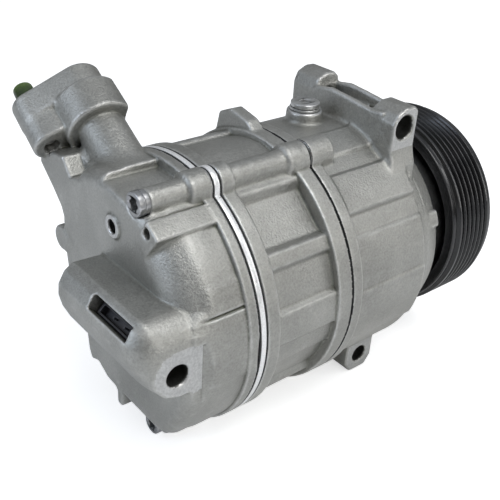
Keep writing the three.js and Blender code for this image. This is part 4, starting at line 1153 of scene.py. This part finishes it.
# ------------------------------------------------------------------ coil lead and its connector
# (x, radius, angle)
LEAD = [(125.4, 48.8, 84), (125.4, 54.5, 85), (121.2, 60.5, 87), (113, 64.2, 89),
        (104, 66.4, 91), (92, 66.9, 92), (80, 66.7, 92), (70, 66.8, 90.5), (63.4, 68.6, 88.5),
        (58.4, 72.4, 87.1), (54.5, 73.4, 87)]
_, lead_radius, lead_angle = LEAD[-1]
lead_path = spline([(x, *polar(radius, angle)) for x, radius, angle in LEAD], 9)
piece('coil_lead', sweep(lead_path, 1.75, 16), sharp=60)
sine, cosine = polar(1, lead_angle)
placing = dict(origin=(0, *polar(lead_radius, lead_angle)), across=(1, 0, 0),
               up=(0, cosine, -sine), normal=(0, sine, cosine))
shell = plate(fillet(rectangle(41.1, -4.3, 54.1, 4.3), 1.0, steps=4), [], -3.7, 3.7, edge=0.5,
              **placing)
collar = plate(fillet(rectangle(44.6, -4.28, 46.2, 4.28), 0.2, steps=2), [], -3.68, 4.1,
               edge=0.1, **placing)
latch = plate(fillet(rectangle(48.4, -1.6, 53.2, 1.6), 0.4, steps=2), [], 3.4, 4.5, edge=0.2,
              **placing)
piece('coil_connector', join(shell, collar, latch))

# ------------------------------------------------------------------ control valve
valve_x, valve_z = VALVE
valve_axis = dict(origin=(valve_x, 0, valve_z), axis=(0, 1, 0))
piece('control_valve_body', lathe(
    [(-45, 0), (-45, 7.9), (-38.5, 7.9, 0.2), (-38.2, 7.2, 0.2), (-36.4, 7.2, 0.2),
     (-36.1, 7.9, 0.2), (-20.2, 7.9), (-20.2, 8.1), (-10, 8.1, 0.2), (-9.7, 7.4, 0.2),
     (-8.1, 7.4, 0.2), (-7.8, 8.1, 0.2), (1.2, 8.1), (1.2, 5.2), (-8, 5.2), (-8, 3.4),
     (-30, 3.4), (-30, 0)], 0.3, 80, **valve_axis))
piece('control_valve_plunger', lathe([(-28.4, 0), (-28.4, 2.9), (-6.6, 2.9), (-6.6, 4.5),
                                      (-1.6, 4.5, 0.6), (-1.6, 0)], 0.3, 56, **valve_axis))
ring_outline = [(radius * math.cos(angle * DEG), radius * math.sin(angle * DEG))
                for radius, angles in ((9.2, range(-76, 257, 4)), (7.4, range(256, -77, -4)))
                for angle in angles]
piece('control_valve_ring', plate(ring_outline, [], 1.8, 3.0, edge=0.08,
                                  origin=valve_axis['origin'], across=(1, 0, 0),
                                  up=(0, 0, 1), normal=(0, 1, 0)))
sine, cosine = polar(1, VALVE_TILT)
across, normal = (sine, 0, cosine), (-cosine, 0, sine)
placing = dict(origin=(-49.7, -34.5, 17.0), across=across, up=np.cross(normal, across),
               normal=normal)
wall = plate(fillet(rectangle(-2.6, -12.5, 2.6, 12.5), 0.9, steps=4),
             [fillet(rectangle(-1.7, -11.2, 1.7, 11.2), 0.6)], -1.4, 2.3, edge=0.2, **placing)
bottom = plate(fillet(rectangle(-2.5, -12.4, 2.5, 12.4), 0.8), [], -2.3, -1.35, **placing)
pins = [plate(circle(0, side, 0.45, 12), [], -1.4, 1.2, **placing) for side in (-4.0, 4.0)]
piece('control_valve_connector', join(wall, bottom, *pins))

# ------------------------------------------------------------------ port stud and its cap
stud_axis = dict(origin=STUD_BASE, axis=TOWER_AXIS)
stud = [(21, 0), (21, 2.6), *thread(21.4, 30, (3.0,), (2.65,)), (30.4, 3.0), (41, 3.0),
        *thread(41.4, 49.6, (2.65,), (3.0,)), (50.6, 2.5), (50.6, 0)]
piece('port_stud', lathe(stud, seg=40, **stud_axis), sharp=25)
piece('port_stud_cap', lathe(
    [(53.6, 0), (53.6, 4.6, 1.1), (46.3, 4.9, 0.2), (46.3, 5.3, 0.4), (44.8, 5.3, 0.4),
     (44.8, 3.5, 0.1), (51.3, 3.5, 0.1), (51.3, 0)], 0.3, 72, **stud_axis), sharp=30)

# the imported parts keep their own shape, with broken edges
for node, part in frame['nodes'].items():
    part.data.materials.clear()
    part.data.materials.append(MATERIALS[SLOTS[node]])
    bevel = part.modifiers.new('edges', 'BEVEL')
    bevel.width = 0.0002
    bevel.segments = 2
    bevel.limit_method = 'ANGLE'
    bevel.angle_limit = 40 * DEG


# ------------------------------------------------------------------ floor, light, camera (metres)
scene = bpy.context.scene


def floor_material():
    material = bpy.data.materials.new('studio_floor')
    material.use_nodes = True
    tree = material.node_tree
    shader = tree.nodes['Principled BSDF']
    place = add_node(tree, 'TexCoord', {}).outputs['Object']
    noise = add_node(tree, 'TexNoise', {'Vector': place, 'Scale': 30}).outputs['Fac']
    tone = map_range(tree, noise, 0, 1, 0.88, 0.93)
    tree.links.new(tone, shader.inputs['Base Color'])
    shader.inputs['Roughness'].default_value = 0.9
    # the floor glows for the camera only, so it shows near white without lighting the parts
    camera_ray = add_node(tree, 'LightPath', {}).outputs['Is Camera Ray']
    glow = add_node(tree, 'Math', {0: camera_ray, 1: 0.62}, operation='MULTIPLY')
    shader.inputs['Emission Color'].default_value = (1, 1, 1, 1)
    tree.links.new(glow.outputs['Value'], shader.inputs['Emission Strength'])
    return material


def build_floor(half=6, gap=0.0005):
    level = float(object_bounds()[0][2]) - gap
    mesh = bpy.data.meshes.new('studio_floor')
    corners = [(x, y, level) for x, y in rectangle(-half, -half, half, half)]
    mesh.from_pydata(corners, [], [(0, 1, 2, 3)])
    mesh.materials.append(floor_material())
    floor = bpy.data.objects.new('studio_floor', mesh)
    scene.collection.objects.link(floor)


def build_camera():
    data = bpy.data.cameras.new('camera')
    data.lens = 56.4588
    data.sensor_width = 36
    data.clip_start = 0.01
    camera = bpy.data.objects.new('camera', data)
    scene.collection.objects.link(camera)
    right, up = (0.7732, -0.6317, 0.0553), (0.2817, 0.4204, 0.8625)
    back = (-0.5681, -0.6514, 0.5030)
    matrix = Matrix((right, up, back)).transposed().to_4x4()
    matrix.translation = Vector((-0.27925, -0.21589, 0.13984))
    camera.matrix_world = matrix
    scene.camera = camera


def build_world():
    """dark below, pale above, white where the camera sees it"""
    world = bpy.data.worlds.new('world')
    scene.world = world
    world.use_nodes = True
    tree = world.node_tree
    background = tree.nodes['Background']
    direction = add_node(tree, 'TexCoord', {}).outputs['Generated']
    height = add_node(tree, 'SeparateXYZ', {0: direction}).outputs['Z']
    sky = add_node(tree, 'ValToRGB', {'Fac': map_range(tree, height, -1, 1)})
    stops = sky.color_ramp.elements
    stops[0].position = 0.30
    stops[0].color = (0.045, 0.047, 0.042, 1)
    stops[1].position = 0.86
    stops[1].color = (0.46, 0.48, 0.51, 1)
    stops.new(0.52).color = (0.13, 0.13, 0.12, 1)
    camera_ray = add_node(tree, 'LightPath', {}).outputs['Is Camera Ray']
    colour = mix_colour(tree, camera_ray, sky.outputs['Color'], (1, 1, 1, 1))
    tree.links.new(colour, background.inputs['Color'])
    background.inputs['Strength'].default_value = 1.0


LIGHT_TARGET = Vector((-0.09, 0.038, -0.059))
# name, offset from the target, size, power, colour
LIGHTS = [
    ('key', (0.10, -0.45, 0.95), (0.8, 0.4), 3.9, (1, 1, 1)),
    ('left', (-0.95, 0.25, 0.45), (0.4, 0.7), 3.0, (0.74, 0.84, 1.0)),
    ('near', (0.10, -1.0, 0.42), (0.6, 0.4), 1.7, (1.0, 0.985, 0.95)),
    ('strip', (0.75, -0.55, 0.35), (0.12, 0.7), 1.0, (1, 1, 1)),
]


def area_light(name, offset, size, power, colour):
    light = bpy.data.lights.new(name, 'AREA')
    light.energy = power
    light.color = colour
    light.shape = 'RECTANGLE'
    light.size, light.size_y = size
    lamp = bpy.data.objects.new(name, light)
    scene.collection.objects.link(lamp)
    lamp.location = LIGHT_TARGET + Vector(offset)
    lamp.rotation_euler = (-Vector(offset)).to_track_quat('-Z', 'Y').to_euler()


build_floor()
build_camera()
build_world()
for row in LIGHTS:
    area_light(*row)
scene.view_settings.view_transform = 'Standard'
scene.view_settings.exposure = 0.0
scene.cycles.use_denoising = True
